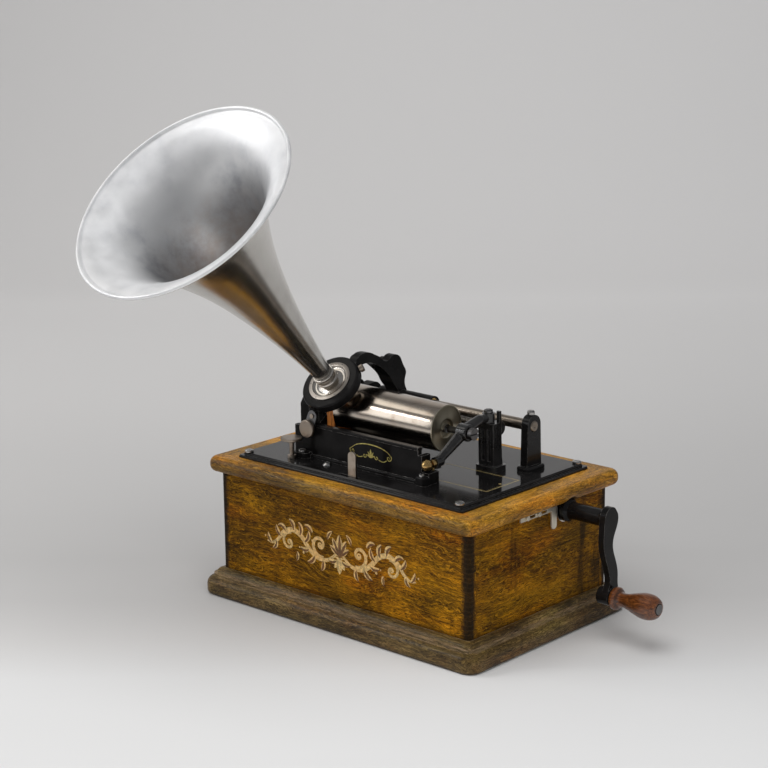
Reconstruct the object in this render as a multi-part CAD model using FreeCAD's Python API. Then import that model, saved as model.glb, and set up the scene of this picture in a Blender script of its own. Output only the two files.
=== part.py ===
import FreeCAD, Part
import math
import os
from FreeCAD import Vector

# Spring-motor cylinder phonograph with an oak case and a spun aluminium horn.
# Origin under the middle of the bedplate, on the case underside. +X runs to the right along the
# front, +Y to the back, +Z up. Millimetres. Spring motor inside the case, crank on the right.

# ---- case ----
CASE_X, CASE_Y = -1.9, 2.2                       # middle of the case
BASE_L, BASE_W, BASE_H = 327.8, 223.0, 24.7      # base moulding, outside
BODY_L, BODY_W = 297.6, 192.8                    # case boards, outside
BODY_R = 3.5                                     # outside corners of the boards
BOARD_T, BOTTOM_T = 9.0, 8.0
BODY_TOP = 118.5
FINGERS = 13                                     # finger-joint steps up each corner
TOP_L, TOP_W, TOP_H = 317.7, 212.9, 14.5         # top moulding
TOP_OPEN_L, TOP_OPEN_W = 260.0, 168.0            # opening under the bedplate

# ---- bedplate ----
BED_L, BED_W, BED_T = 268.8, 176.6, 5.0
BED_FLANGE_T = 2.4
BED_UNDER = BODY_TOP + TOP_H
BED_TOP = BED_UNDER + BED_T

# ---- radial clearances ----
FIXED, RUNNING = 0.02, 0.05

# ---- axes along X, as (y, z) ----
MANDREL = (-13.8, 177.5)
ROD = (39.4, 178.0)                              # carriage rod at the back
FEED_SCREW = (22.5, 175.5)
BARREL = (12.0, 84.62)
CRANK = (35.0, 111.0)                            # crank and winding pinion
SECOND = (-35.0, 70.76)                          # second arbor
PULLEY = (-13.8, 91.99)                          # belt pulley arbor
GOVERNOR = (-21.8, 69.36)
PAWL = (22.0, 125.0)
HANDLE = (38.0, 40.0)                            # crank handle

MANDREL_X0, MANDREL_X1 = -62.0, 54.4
MANDREL_R0, MANDREL_R1 = 23.2, 21.2              # left and right end
SHAFT_R, ROD_R, SCREW_R = 4.0, 5.0, 4.0
ARBOR_R, SMALL_ARBOR_R, SPINDLE_R = 5.0, 3.0, 2.5
PULLEY_R = 15.0
BELT_X0, BELT_X1 = -75.5, -65.5

# ---- other axes ----
ROCKER = (-92.0, 106.0)                          # brake rocker, along Y, as (x, z)
HINGE = (79.0, 14.0)                             # swing-arm hinge, along Z, as (x, y)
SPEED_SCREW = (-81.2, -71.2)                     # along Z, as (x, y)

# ---- reproducer and horn: the axis leans towards the front ----
REPRODUCER = Vector(-60.0, -42.2, 207.3)         # centre of the reproducer face
TILT = math.radians(47.2)
X_AXIS = Vector(1, 0, 0)
HORN_AXIS = Vector(0, -math.cos(TILT), math.sin(TILT))
FACE_UP = Vector(0, math.sin(TILT), math.cos(TILT))
RING_OUTER_R, RING_INNER_R, RING_T = 28.6, 20.95, 9.0
NECK_R = 6.5

# ---- motor plates ----
LEFT_X0, LEFT_X1 = -52.0, -48.0
RIGHT_X0, RIGHT_X1 = 70.0, 74.0
PILLARS = [(-52.0, 44.0), (50.0, 50.0), (-50.0, 122.0), (54.0, 123.0)]   # (y, z)
PILLAR_END_R = 3.0

# ---- screw places, (x, y) ----
BED_SCREWS = [(-126, -81.5), (126, -81.5), (-126, 81.5), (126, 81.5)]
MOTOR_SCREWS = [(-41.0, -67.0), (-41.0, 63.0), (90.0, 61.0)]
# upper casting: place, boss height over the bedplate, head radius
CAST_SCREWS = [((-77.0, -61.6), 5, 3.6), ((-85.0, 57.0), 5, 3.6), ((65.4, -60.3), 8, 2.6)]
GUIDE_XS, GUIDE_Z = (-60.0, -14.0), 123.0        # guide screws of the start and stop bar


# ============================== HELPERS ==============================
def export(name, shape):
    shape.exportStep("parts/%s.step" % name)


def box(x0, y0, z0, x1, y1, z1):
    return Part.makeBox(x1 - x0, y1 - y0, z1 - z0, Vector(x0, y0, z0))


def cyl_x(x0, x1, centre, radius):
    return Part.makeCylinder(radius, x1 - x0, Vector(x0, *centre), X_AXIS)


def cyl_y(y0, y1, centre, radius):
    x, z = centre
    return Part.makeCylinder(radius, y1 - y0, Vector(x, y0, z), Vector(0, 1, 0))


def cyl_z(z0, z1, centre, radius):
    return Part.makeCylinder(radius, z1 - z0, Vector(*centre, z0), Vector(0, 0, 1))


def fuse(first, *others):
    for other in others:
        first = first.fuse(other)
    return first.removeSplitter()


def cut(shape, *tools):
    for tool in tools:
        shape = shape.cut(tool)
    return shape


def group(*shapes):
    return Part.makeCompound([solid for shape in shapes for solid in shape.Solids])


def fillet(shape, edges, radius):
    # guards radii the kernel may refuse: the edges then stay sharp
    try:
        rounded = shape.makeFillet(radius, edges)
        if rounded.isValid() and rounded.Volume > 0:
            return rounded
    except Exception:
        pass
    return shape


def edges_at_z(shape, z):
    return [e for e in shape.Edges
            if abs(e.BoundBox.ZMin - z) < 1e-4 and abs(e.BoundBox.ZMax - z) < 1e-4]


def round_at_z(shape, z, radius):
    return fillet(shape, edges_at_z(shape, z), radius)


def rounded_block(length, width, radius, z0, z1, x=0.0, y=0.0):
    """Block about (x, y) with rounded upright edges."""
    block = box(x - length / 2, y - width / 2, z0, x + length / 2, y + width / 2, z1)
    upright = [e for e in block.Edges if abs(e.Vertexes[0].Z - e.Vertexes[1].Z) > 1e-6]
    return block.makeFillet(radius, upright)


def prism(points, sweep):
    return Part.Face(Part.makePolygon(points + [points[0]])).extrude(sweep)


def prism_x(outline, x0, x1):
    return prism([Vector(x0, y, z) for y, z in outline], Vector(x1 - x0, 0, 0))


def prism_y(outline, y0, y1):
    return prism([Vector(x, y0, z) for x, z in outline], Vector(0, y1 - y0, 0))


def prism_z(outline, z0, z1):
    return prism([Vector(x, y, z0) for x, y in outline], Vector(0, 0, z1 - z0))


def beam(start, end, width, height):
    """Rectangular bar between two points, its width lying towards X."""
    run = end - start
    length = run.Length
    run = run / length
    side = (X_AXIS - run * X_AXIS.dot(run)).normalize()
    up = run.cross(side)
    corners = [start + side * (a * width / 2) + up * (b * height / 2)
               for a, b in ((-1, -1), (1, -1), (1, 1), (-1, 1))]
    return prism(corners, run * length)


def revolve(profile, origin, axis, radial):
    """Solid turned about an axis; profile is (radius, distance along the axis)."""
    points = [origin + radial * r + axis * s for r, s in profile]
    return Part.Face(Part.makePolygon(points + [points[0]])).revolve(origin, axis, 360)


def revolve_x(profile, centre):
    return revolve(profile, Vector(0, *centre), X_AXIS, Vector(0, 0, 1))


def spline(points, **options):
    curve = Part.BSplineCurve()
    curve.interpolate(points, **options)
    return curve.toShape()


def polar(centre, radius, angle):
    return (centre[0] + radius * math.cos(angle), centre[1] + radius * math.sin(angle))


def hull_x(centre1, radius1, centre2, radius2, x0, x1):
    """Plate along X: two round ends joined by their outer tangents."""
    dy, dz = centre2[0] - centre1[0], centre2[1] - centre1[1]
    line = math.atan2(dz, dy)
    spread = math.acos((radius1 - radius2) / math.hypot(dy, dz))
    web = [polar(centre1, radius1, line + spread), polar(centre2, radius2, line + spread),
           polar(centre2, radius2, line - spread), polar(centre1, radius1, line - spread)]
    return fuse(prism_x(web, x0, x1), cyl_x(x0, x1, centre1, radius1),
                cyl_x(x0, x1, centre2, radius2))


PRESSURE_ANGLE = math.radians(25.0)
ADDENDUM, DEDENDUM, BACKLASH = 0.85, 1.15, 0.16  # in modules


def involute(angle):
    return math.tan(angle) - angle


def gear(teeth, module, centre, x0, x1, bore, phase):
    """Spur gear with straight facets along each flank; bore is a radius."""
    pitch_r = teeth * module / 2.0
    base_r = pitch_r * math.cos(PRESSURE_ANGLE)
    tip_r, root_r = pitch_r + ADDENDUM * module, pitch_r - DEDENDUM * module
    half = math.pi / 2 / teeth - BACKLASH * module / (2 * pitch_r)

    def half_angle(r):
        flank = involute(math.acos(base_r / r)) if r > base_r else 0.0
        return half + involute(PRESSURE_ANGLE) - flank

    flank_r = max(base_r, root_r + 0.05 * module)
    radii = [root_r, flank_r, (pitch_r + flank_r) / 2, pitch_r, (pitch_r + tip_r) / 2, tip_r]
    outline = []
    for k in range(teeth):
        middle = phase + 2 * math.pi * k / teeth
        outline += [polar(centre, r, middle - half_angle(r)) for r in radii]
        outline += [polar(centre, r, middle + half_angle(r)) for r in reversed(radii)]
    return prism_x(outline, x0, x1).cut(cyl_x(x0 - 1, x1 + 1, centre, bore))


def mesh_phase(teeth_a, phase_a, centre_a, teeth_b, centre_b):
    """Phase of gear B that puts it in mesh with gear A."""
    line = math.atan2(centre_b[1] - centre_a[1], centre_b[0] - centre_a[0])
    return line + math.pi - (phase_a - line) * teeth_a / teeth_b + math.pi / teeth_b


def lighten(wheel, centre, count, circle_r, hole_r, x0, x1, start=0):
    """Ring of holes through a wheel web."""
    for k in range(count):
        hole = polar(centre, circle_r, math.radians(360 // count * k + start))
        wheel = wheel.cut(cyl_x(x0, x1, hole, hole_r))
    return wheel


def slotted_screw(z0, seat, centre, shank_r, head_r, head_h, slot=1.0):
    """Upright screw with a slotted cheese head standing on its seat."""
    x, y = centre
    head = cyl_z(seat, seat + head_h, centre, head_r)
    head = round_at_z(head, seat + head_h, min(head_r, head_h) * 0.45)
    head = head.cut(box(x - head_r - 1, y - slot / 2, seat + head_h * 0.55,
                        x + head_r + 1, y + slot / 2, seat + head_h + 1))
    return fuse(head, cyl_z(z0, seat, centre, shank_r))


def pulley(bore, centre):
    """Flanged belt pulley."""
    rim = PULLEY_R + 2.4
    return revolve_x([(bore, -77.0), (rim, -77.0), (rim, -76.0), (PULLEY_R, -75.4),
                      (PULLEY_R, -65.6), (rim, -65.0), (rim, -64.0), (bore, -64.0)], centre)


def on_face(up, out, side=0.0):
    """Point seen from the reproducer: up its face, out along the horn, to the right."""
    return REPRODUCER + FACE_UP * up + HORN_AXIS * out + X_AXIS * side


def cyl_horn(out, radius, length):
    return Part.makeCylinder(radius, length, on_face(0, out), HORN_AXIS)


def revolve_horn(profile):
    return revolve(profile, REPRODUCER, HORN_AXIS, X_AXIS)


os.makedirs("parts", exist_ok=True)

# ============================== CASE ==============================
half_l, half_w = BODY_L / 2, BODY_W / 2
inner_l, inner_w = half_l - BOARD_T, half_w - BOARD_T
finger_pitch = (BODY_TOP - BOTTOM_T) / FINGERS
SIDES = (-1, 1)


def board_span(side, inner, outer):
    return sorted((side * inner, side * outer))


# boards keyed by side: -1 is front or left, 1 is back or right
long_boards, end_boards = {}, {}
for side in SIDES:
    y0, y1 = board_span(side, inner_w, half_w)
    long_boards[side] = box(-half_l, y0, BOTTOM_T, half_l, y1, BODY_TOP)
    x0, x1 = board_span(side, inner_l, half_l)
    end_boards[side] = box(x0, -inner_w, BOTTOM_T, x1, inner_w, BODY_TOP)

# finger joints: every second step belongs to the end boards
for i in range(1, FINGERS, 2):
    z0 = BOTTOM_T + i * finger_pitch
    for side_x in SIDES:
        x0, x1 = board_span(side_x, inner_l, half_l)
        for side_y in SIDES:
            y0, y1 = board_span(side_y, inner_w, half_w)
            finger = box(x0, y0, z0, x1, y1, z0 + finger_pitch)
            long_boards[side_y] = long_boards[side_y].cut(finger)
            end_boards[side_x] = end_boards[side_x].fuse(finger)

corner_shape = rounded_block(BODY_L, BODY_W, BODY_R, 0, 140)


def finish_board(board):
    """Rounds the outside corners and moves the board to its place."""
    return board.removeSplitter().common(corner_shape).translated(Vector(CASE_X, CASE_Y, 0))


export("front_board", finish_board(long_boards[-1]))
export("back_board", finish_board(long_boards[1]))
export("left_board", finish_board(end_boards[-1]))

# right board: crank hole and lid lock screw holes
LOCK_SCREW_YS, LOCK_SCREW_Z = (-19.0, -3.0), 115.25
right_board = finish_board(end_boards[1]).cut(cyl_x(120, 160, CRANK, 6.4))
export("right_board", right_board.cut(Part.makeCompound(
    [cyl_x(139.5, 150, (y, LOCK_SCREW_Z), 1.17) for y in LOCK_SCREW_YS])))

export("bottom_board", rounded_block(BODY_L, BODY_W, BODY_R, 0, BOTTOM_T, CASE_X, CASE_Y))

# base moulding: round foot, small step and a rounded upper member
foot = rounded_block(BASE_L, BASE_W, 12.5, 0, 17.5, CASE_X, CASE_Y)
foot = round_at_z(foot, 17.5, 8.0)
foot = round_at_z(foot, 0.0, 4.0)
step = rounded_block(BASE_L - 12, BASE_W - 12, 8.5, 10, 20.0, CASE_X, CASE_Y)
upper = rounded_block(BASE_L - 15.5, BASE_W - 15.5, 7.5, 16, BASE_H, CASE_X, CASE_Y)
upper = round_at_z(upper, BASE_H, 6.4)
export("base_moulding", fuse(foot, step, upper).cut(rounded_block(
    BODY_L + 2 * FIXED, BODY_W + 2 * FIXED, BODY_R, -1, 40, CASE_X, CASE_Y)))

# top moulding: bullnose board with an open centre, screw holes and relief for the crank flange
top = rounded_block(TOP_L, TOP_W, 10.0, BODY_TOP, BED_UNDER, CASE_X, CASE_Y)
top = round_at_z(top, BED_UNDER, 6.8)
top = round_at_z(top, BODY_TOP, 6.2)
export("top_moulding", cut(
    top, rounded_block(TOP_OPEN_L, TOP_OPEN_W, 30, 100, 160),
    Part.makeCompound([cyl_z(121.5, 140, at, 2.02) for at in BED_SCREWS]),
    cyl_x(146.9, 170, CRANK, 12.4)))

# triangular blocks in the inside corners
BLOCK_LEG = 20
blocks = []
for side_x in SIDES:
    for side_y in SIDES:
        x, y = CASE_X + side_x * inner_l, CASE_Y + side_y * inner_w
        blocks.append(prism_z([(x, y), (x - side_x * BLOCK_LEG, y), (x, y - side_y * BLOCK_LEG)],
                              BOTTOM_T, BODY_TOP))
export("corner_blocks", Part.makeCompound(blocks))

# ============================== BEDPLATE ==============================
flange = rounded_block(BED_L, BED_W, 3.0, BED_UNDER, BED_UNDER + BED_FLANGE_T)
flange = flange.makeChamfer(0.8, edges_at_z(flange, BED_UNDER + BED_FLANGE_T))
raised = rounded_block(BED_L - 7, BED_W - 7, 2.5, BED_UNDER, BED_TOP)
raised = raised.makeChamfer(1.2, edges_at_z(raised, BED_TOP))
belt_slot = box(BELT_X0 - 1.5, MANDREL[0] - 19.5, 120, BELT_X1 + 1.5, MANDREL[0] + 19.5, 150)
start_slot = box(-14.5, -82.0, 120, 9.0, -78.2, 150)
bed = cut(fuse(flange, raised), belt_slot, start_slot, cyl_z(120, 150, SPEED_SCREW, 2.3),
          *[cyl_z(120, 150, at, 2.2) for at in BED_SCREWS + MOTOR_SCREWS],
          *[cyl_z(120, 150, at, 2.0) for at, _, _ in CAST_SCREWS])

# lugs under the plate for the guide screws and the brake rocker
guide_lugs = [box(x - 4, -64.9, 117.0, x + 4, -61.9, BED_UNDER)
              .cut(cyl_y(-70, -60, (x, GUIDE_Z), 1.52)) for x in GUIDE_XS]
rocker_lugs = [box(-97.0, y, 100.5, -87.0, y + 4, BED_UNDER)
               .cut(cyl_y(y - 1, y + 5, ROCKER, 3.0 + RUNNING)) for y in (-64.0, -36.0)]

# bracket for the left end of the governor spindle
bracket_y0, bracket_y1 = GOVERNOR[0] - 12, GOVERNOR[0] + 12
governor_bracket = fuse(box(-124.0, bracket_y0, 62.0, -120.0, bracket_y1, BED_UNDER),
                        box(-124.0, bracket_y0, 129.0, -110.0, bracket_y1, BED_UNDER))
governor_bracket = governor_bracket.cut(cyl_x(-130, -110, GOVERNOR, SPINDLE_R + RUNNING))
export("bedplate", fuse(bed, Part.makeCompound(guide_lugs), Part.makeCompound(rocker_lugs),
                        governor_bracket))


# ============================== PLATE AND MOTOR SCREWS ==============================
def dome(z, centre, radius, height):
    """Spherical cap standing on z."""
    x, y = centre
    sphere_r = (radius * radius + height * height) / (2 * height)
    sphere = Part.makeSphere(sphere_r, Vector(x, y, z + height - sphere_r))
    return sphere.common(box(x - radius - 1, y - radius - 1, z,
                             x + radius + 1, y + radius + 1, z + height + 1))


def domed_screw(centre):
    x, y = centre
    screw = fuse(dome(BED_TOP, centre, 4.3, 3.0), cyl_z(129.6, BED_TOP, centre, 2.0))
    return screw.cut(box(x - 6, y - 0.5, BED_TOP + 2.0, x + 6, y + 0.5, BED_TOP + 4))


ROD_POST = (106.2, 39.9)                         # (x, y) of the right rod post
export("plate_screws", group(
    *[slotted_screw(122, BED_TOP, at, 2.0, 4.2, 2.2) for at in BED_SCREWS],
    *[slotted_screw(133.5, BED_TOP + height, at, 1.95, head_r, 2.2, 0.9)
      for at, height, head_r in CAST_SCREWS],
    slotted_screw(183.4, 188.3, ROD_POST, 1.75, 3.4, 3.6)))

guide_screws = [fuse(cyl_y(-69.6, -62.0, (x, GUIDE_Z), 1.5),
                     cyl_y(-71.2, -69.6, (x, GUIDE_Z), 3.2)) for x in GUIDE_XS]
export("motor_screws", group(*[domed_screw(at) for at in MOTOR_SCREWS], *guide_screws))

# ============================== GEAR TRAIN PLACES ==============================
TRAIN_MODULE = 0.8
TRAIN_X0, TRAIN_X1 = -97.0, -92.0
MANDREL_TEETH, IDLER_TEETH, SCREW_TEETH = 18, 20, 36
MANDREL_PHASE = 0.3
STUD_R = 2.5

# the idler sits below the line from mandrel to feed screw, at the two centre distances
mandrel_to_idler = (MANDREL_TEETH + IDLER_TEETH) * TRAIN_MODULE / 2
screw_to_idler = (IDLER_TEETH + SCREW_TEETH) * TRAIN_MODULE / 2
dy, dz = FEED_SCREW[0] - MANDREL[0], FEED_SCREW[1] - MANDREL[1]
span = math.hypot(dy, dz)
along = (mandrel_to_idler ** 2 - screw_to_idler ** 2 + span ** 2) / (2 * span)
off = math.sqrt(mandrel_to_idler ** 2 - along ** 2)
IDLER = (MANDREL[0] + (along * dy + off * dz) / span,
         MANDREL[1] + (along * dz - off * dy) / span)

# ============================== UPPER CASTING ==============================
WALL_X0, WALL_X1 = -90, 58.8
WALL_Y0, WALL_Y1 = -57.4, -52.4
WALL_TOP = 169.7
PEDESTAL_X0, PEDESTAL_X1 = -90, -80

wall = box(WALL_X0, WALL_Y0, BED_TOP, WALL_X1, WALL_Y1, WALL_TOP)
wall = wall.cut(box(-92, WALL_Y0 - 1, 166.0, -69, WALL_Y1 + 1, 180))
bead = box(WALL_X0, WALL_Y0 - 2.2, BED_TOP, WALL_X1, WALL_Y1 + 2.0, BED_TOP + 3.0)
bead = round_at_z(bead, BED_TOP + 3.0, 1.4)
lip = box(-69, WALL_Y0 - 1.0, 167.2, WALL_X1, WALL_Y1 + 1.0, WALL_TOP)
lip = round_at_z(lip, WALL_TOP, 0.9)

# left bearing pedestal for mandrel shaft, feed screw and rod; outlines are (y, z)
PEDESTAL = [(-57.4, BED_TOP), (54.0, BED_TOP), (51.5, 146), (48.5, 172), (30, 172),
            (-24.0, 172), (-36, 163), (-50, 160), (-57.4, 158)]
PEDESTAL_WINDOW = [(-42, 148), (42, 148), (38, 162), (-20, 162), (-34, 155)]
pedestal = hull_x(MANDREL, 13.0, FEED_SCREW, 10.0, PEDESTAL_X0, PEDESTAL_X1)
pedestal = pedestal.fuse(hull_x(FEED_SCREW, 10.0, ROD, 10.5, PEDESTAL_X0, PEDESTAL_X1))
pedestal = pedestal.fuse(prism_x(PEDESTAL, PEDESTAL_X0, PEDESTAL_X1))
front_foot = rounded_block(16, 11.4, 4, BED_TOP, BED_TOP + 5, -77.0, -60.8)
back_foot = rounded_block(16, 14, 4, BED_TOP, BED_TOP + 5, -85.0, 57.0)

# latch keeper and toe at the right end
keeper_low = box(WALL_X1, WALL_Y0, BED_TOP, 71.0, -44.0, 148.5)
keeper_high = box(WALL_X1, WALL_Y0, BED_TOP, 63.0, -46.0, 163.0)
toe = rounded_block(12.2, 10.2, 3, BED_TOP, BED_TOP + 8, 65.2, -58.3)
toe = round_at_z(toe, BED_TOP + 8, 2.0)

casting = fuse(wall, bead, lip, pedestal, front_foot, back_foot, keeper_low, keeper_high, toe)
casting = casting.cut(prism_x(PEDESTAL_WINDOW, -92, -78))
for centre, radius in ((MANDREL, SHAFT_R + RUNNING), (FEED_SCREW, SCREW_R + RUNNING),
                       (ROD, ROD_R + FIXED), (IDLER, STUD_R + FIXED)):
    casting = casting.cut(cyl_x(-95, -75, centre, radius))
export("upper_casting", cut(casting, *[cyl_z(130, 160, at, 2.0) for at, _, _ in CAST_SCREWS]))

# ============================== MANDREL AND FEED SCREW ==============================
# hollow tapered drum, recessed at its right end
bore = SHAFT_R + FIXED
export("mandrel", revolve_x(
    [(bore, MANDREL_X0), (MANDREL_R0, MANDREL_X0), (MANDREL_R1, MANDREL_X1 - 0.8),
     (MANDREL_R1 - 0.8, MANDREL_X1), (9.0, MANDREL_X1), (8.0, MANDREL_X1 - 2.0),
     (bore, MANDREL_X1 - 2.0), (bore, MANDREL_X1 - 6.0), (MANDREL_R1 - 3.0, MANDREL_X1 - 6.0),
     (MANDREL_R0 - 3.0, MANDREL_X0 + 5.0), (bore, MANDREL_X0 + 5.0)], MANDREL))

# shaft with a countersunk centre in its right end, gear and pulley
shaft = cyl_x(-98.0, 56.0, MANDREL, SHAFT_R)
shaft = shaft.cut(Part.makeCone(0.0, 5.2, 3.0, Vector(53.0, *MANDREL), X_AXIS))
mandrel_gear = gear(MANDREL_TEETH, TRAIN_MODULE, MANDREL, TRAIN_X0, TRAIN_X1,
                    SHAFT_R - 0.5, MANDREL_PHASE)
export("mandrel_shaft", fuse(shaft, mandrel_gear, pulley(SHAFT_R - 0.5, MANDREL)))

idler_phase = mesh_phase(MANDREL_TEETH, MANDREL_PHASE, MANDREL, IDLER_TEETH, IDLER)
export("idler_gear", gear(IDLER_TEETH, TRAIN_MODULE, IDLER, TRAIN_X0, TRAIN_X1,
                          STUD_R + RUNNING, idler_phase))

screw_phase = mesh_phase(IDLER_TEETH, idler_phase, IDLER, SCREW_TEETH, FEED_SCREW)
screw_gear = gear(SCREW_TEETH, TRAIN_MODULE, FEED_SCREW, TRAIN_X0, TRAIN_X1,
                  SCREW_R - 0.5, screw_phase)
feed_screw = fuse(cyl_x(-98.0, 84.0, FEED_SCREW, SCREW_R), cyl_x(-79.5, -76.5, FEED_SCREW, 5.2))
export("feed_screw", fuse(feed_screw, screw_gear))

# studs of the idler gear and the ratchet pawl
PAWL_STUD_R = 1.5
idler_stud = fuse(cyl_x(-98.6, -80.0, IDLER, STUD_R), cyl_x(-98.6, -97.4, IDLER, 3.6))
pawl_stud = fuse(cyl_x(61.0, 73.9, PAWL, PAWL_STUD_R), cyl_x(60.0, 61.4, PAWL, 2.6))
export("gear_studs", group(idler_stud, pawl_stud))


# gear guard: thin cover over the three gears, with a hump at its front
def guard_body(mandrel_r, screw_r, y0, y1, z0, hump, x0, x1):
    return fuse(hull_x(MANDREL, mandrel_r, FEED_SCREW, screw_r, x0, x1),
                box(x0, y0, z0, x1, y1, 175), prism_x(hump, x0, x1))


GUARD_OUTER_HUMP = [(-38.6, BED_TOP), (-38.6, 180.0), (-34.5, 186.5), (-26.0, 189.0),
                    (-14.0, 189.0), (-14.0, BED_TOP)]                        # (y, z)
GUARD_INNER_HUMP = [(-36.8, 130), (-36.8, 179.3), (-33.3, 184.9), (-25.5, 187.2),
                    (-15.0, 187.2), (-15.0, 130)]
guard_outer = guard_body(11.6, 18.4, -25.4, 40.9, BED_TOP, GUARD_OUTER_HUMP, -101.0, -90.0)
guard_inner = guard_body(9.8, 16.6, -23.4, 38.9, 130, GUARD_INNER_HUMP, -99.2, -89.0)
export("gear_guard", guard_outer.cut(guard_inner))

# belt from the mandrel pulley down to the motor pulley
BELT_T = 1.5
belt_r = PULLEY_R + 0.15
export("drive_belt", hull_x(MANDREL, belt_r + BELT_T, PULLEY, belt_r + BELT_T, -75.0, -66.0)
       .cut(hull_x(MANDREL, belt_r, PULLEY, belt_r, -76.0, -65.0)))

# ============================== ROD AND POSTS ==============================
export("back_rod", cyl_x(-89.5, 111.0, ROD, ROD_R))

POST_X0, POST_X1 = 102.5, 110.0
post = prism_x([(29.6, BED_TOP), (50.6, BED_TOP), (50.0, 146.0), (48.9, 179.0), (30.9, 179.0),
                (30.0, 146.0)], POST_X0, POST_X1)
post = fuse(post, cyl_x(POST_X0, POST_X1, (39.9, 179.0), 9.0))
post_foot = rounded_block(15.5, 26.5, 5, BED_TOP, BED_TOP + 4.5, 106.2, 40.0)
post_foot = round_at_z(post_foot, BED_TOP + 4.5, 2.0)
export("right_rod_post", cut(fuse(post, post_foot), cyl_x(90, 120, ROD, ROD_R + FIXED),
                             cyl_z(183.2, 200, ROD_POST, 1.8)))

# gate post: right bearing of the feed screw and hinge of the swing arm
HINGE_R = 2.2
gate_post = fuse(
    prism_x([(10.6, BED_TOP), (24.0, BED_TOP), (22.0, 150), (21.0, 181.6), (9.4, 181.6),
             (10.0, 150)], 71.0, 88.0),
    rounded_block(23, 19, 4, BED_TOP, BED_TOP + 5, 79.5, 16.8),
    cyl_x(72.0, 86.0, FEED_SCREW, 6.3),
    box(84.5, 18.6, 178, 88.0, 21.0, 192.0))
export("gate_post", cut(
    gate_post,
    box(74.2, 8.0, 147, 77.6, 11.9, 176),        # flutes down the front face
    box(81.0, 8.0, 147, 84.6, 11.9, 176),
    cyl_x(60, 84.5, FEED_SCREW, SCREW_R + RUNNING),
    cyl_z(165, 200, HINGE, HINGE_R + FIXED)))
export("gate_hinge_pin", slotted_screw(165.2, 190.6, HINGE, HINGE_R, 4.0, 3.0))


# ============================== SWING ARM ==============================
def limb(start, end, start_r, end_r):
    """Round tapered limb with a ball at its far end."""
    run = end - start
    return fuse(Part.makeCone(start_r, end_r, run.Length, start, run),
                Part.makeSphere(end_r + 0.03, end))


CENTRE_SCREW_R = 3.0
LATCH = (68.2, 155.5)                            # latch pivot, along Y, as (x, z)
LATCH_R = 1.6
hub = cyl_x(69.0, 81.0, MANDREL, 7.6)
hub = fillet(hub, hub.Edges, 1.4)
hinge_limb = fuse(limb(Vector(75.0, -13.8, 179.2), Vector(78.6, 2.0, 186.2), 5.6, 4.4),
                  limb(Vector(78.55, 1.0, 186.1), Vector(79.0, 14.0, 186.3), 4.3, 4.1),
                  cyl_z(182.0, 190.5, HINGE, 5.6))
latch_limb = fuse(limb(Vector(73.6, -13.8, 177.2), Vector(68.2, -41.0, 156.4), 5.4, 3.7),
                  beam(Vector(73.2, -16.0, 180.4), Vector(68.2, -39.0, 159.6), 2.2, 5.0))
latch_tip = fuse(cyl_y(-46.6, -38.0, (68.2, 156.0), 4.6),
                 box(65.6, -46.6, 150.4, 70.8, -40.6, 156.0))
export("gate_arm", cut(fuse(hub, hinge_limb, latch_limb, latch_tip),
                       cyl_x(50, 90, MANDREL, CENTRE_SCREW_R + FIXED),
                       cyl_z(170, 200, HINGE, HINGE_R + RUNNING),
                       cyl_y(-50, -43.0, LATCH, LATCH_R + RUNNING)))

# centre screw with a blunt cone towards the shaft and a slotted head
centre_screw = fuse(cyl_x(56.8, 82.0, MANDREL, CENTRE_SCREW_R),
                    Part.makeCone(0.6, CENTRE_SCREW_R, 1.8, Vector(55.0, *MANDREL), X_AXIS),
                    cyl_x(82.0, 86.5, MANDREL, 5.4))
export("centre_screw", centre_screw.cut(
    box(85.0, MANDREL[0] - 7, MANDREL[1] - 0.6, 88, MANDREL[0] + 7, MANDREL[1] + 0.6)))

# thumb latch: pivot shank, ball knob, collar and catch
export("gate_latch", fuse(cyl_y(-57.6, -43.2, LATCH, LATCH_R),
                          Part.makeSphere(5.0, Vector(68.2, -56.6, 155.5)),
                          cyl_y(-51.2, -46.9, LATCH, 3.6),
                          box(67.0, -49.4, 149.3, 69.4, -47.6, 155.0)))

# ============================== CARRIAGE ==============================
BUSHING_R = 6.6
export("sleeve_bushing", cyl_x(-69.5, -7.3, ROD, BUSHING_R)
       .cut(cyl_x(-80, 0, ROD, ROD_R + RUNNING)))

# arch from the ring back to the rod, stations (y, z)
ARCH_OUTER = [(-24.0, 221.5), (-21.5, 226.5), (-16.5, 229.8), (-10.0, 230.6), (-4.3, 229.6),
              (2.2, 226.6), (10.3, 222.2), (16.9, 217.7), (20.2, 218.2), (23.6, 220.5),
              (30.3, 221.8), (37.0, 218.1), (40.8, 210.6), (44.9, 202.6), (43.2, 196.6),
              (43.4, 190.3), (45.1, 186.5), (45.5, 178.0)]
ARCH_INNER = [(33.5, 178.0), (33.6, 187.2), (27.8, 194.2), (23.3, 201.4), (15.7, 209.0),
              (8.2, 214.7), (0.7, 218.7), (-11.2, 220.6), (-19.5, 218.5)]
# top of the lower flange on the left of the arch
ARCH_FLANGE = [(-15.0, 221.8), (-13.0, 225.2), (-9.0, 226.6), (-4.3, 226.0), (2.2, 223.2),
               (10.0, 218.9), (16.8, 214.4), (21.2, 215.2), (25.0, 217.2), (30.0, 218.0),
               (34.4, 215.4), (37.6, 209.0), (41.2, 201.8), (40.0, 196.4), (40.4, 190.3),
               (42.0, 186.5), (42.4, 178.0)]
ABOVE_FLANGE = [(60.0, 178.0), (60.0, 250.0), (-60.0, 250.0), (-60.0, 205.0), (-15.0, 205.0)]
ARCH_X, ARCH_T = -61.0, 16


def curve_at_x(stations, x):
    return spline([Vector(x, y, z) for y, z in stations])


def lines_at_x(stations, x):
    return [Part.makeLine(Vector(x, *p), Vector(x, *q)) for p, q in zip(stations, stations[1:])]


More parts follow.
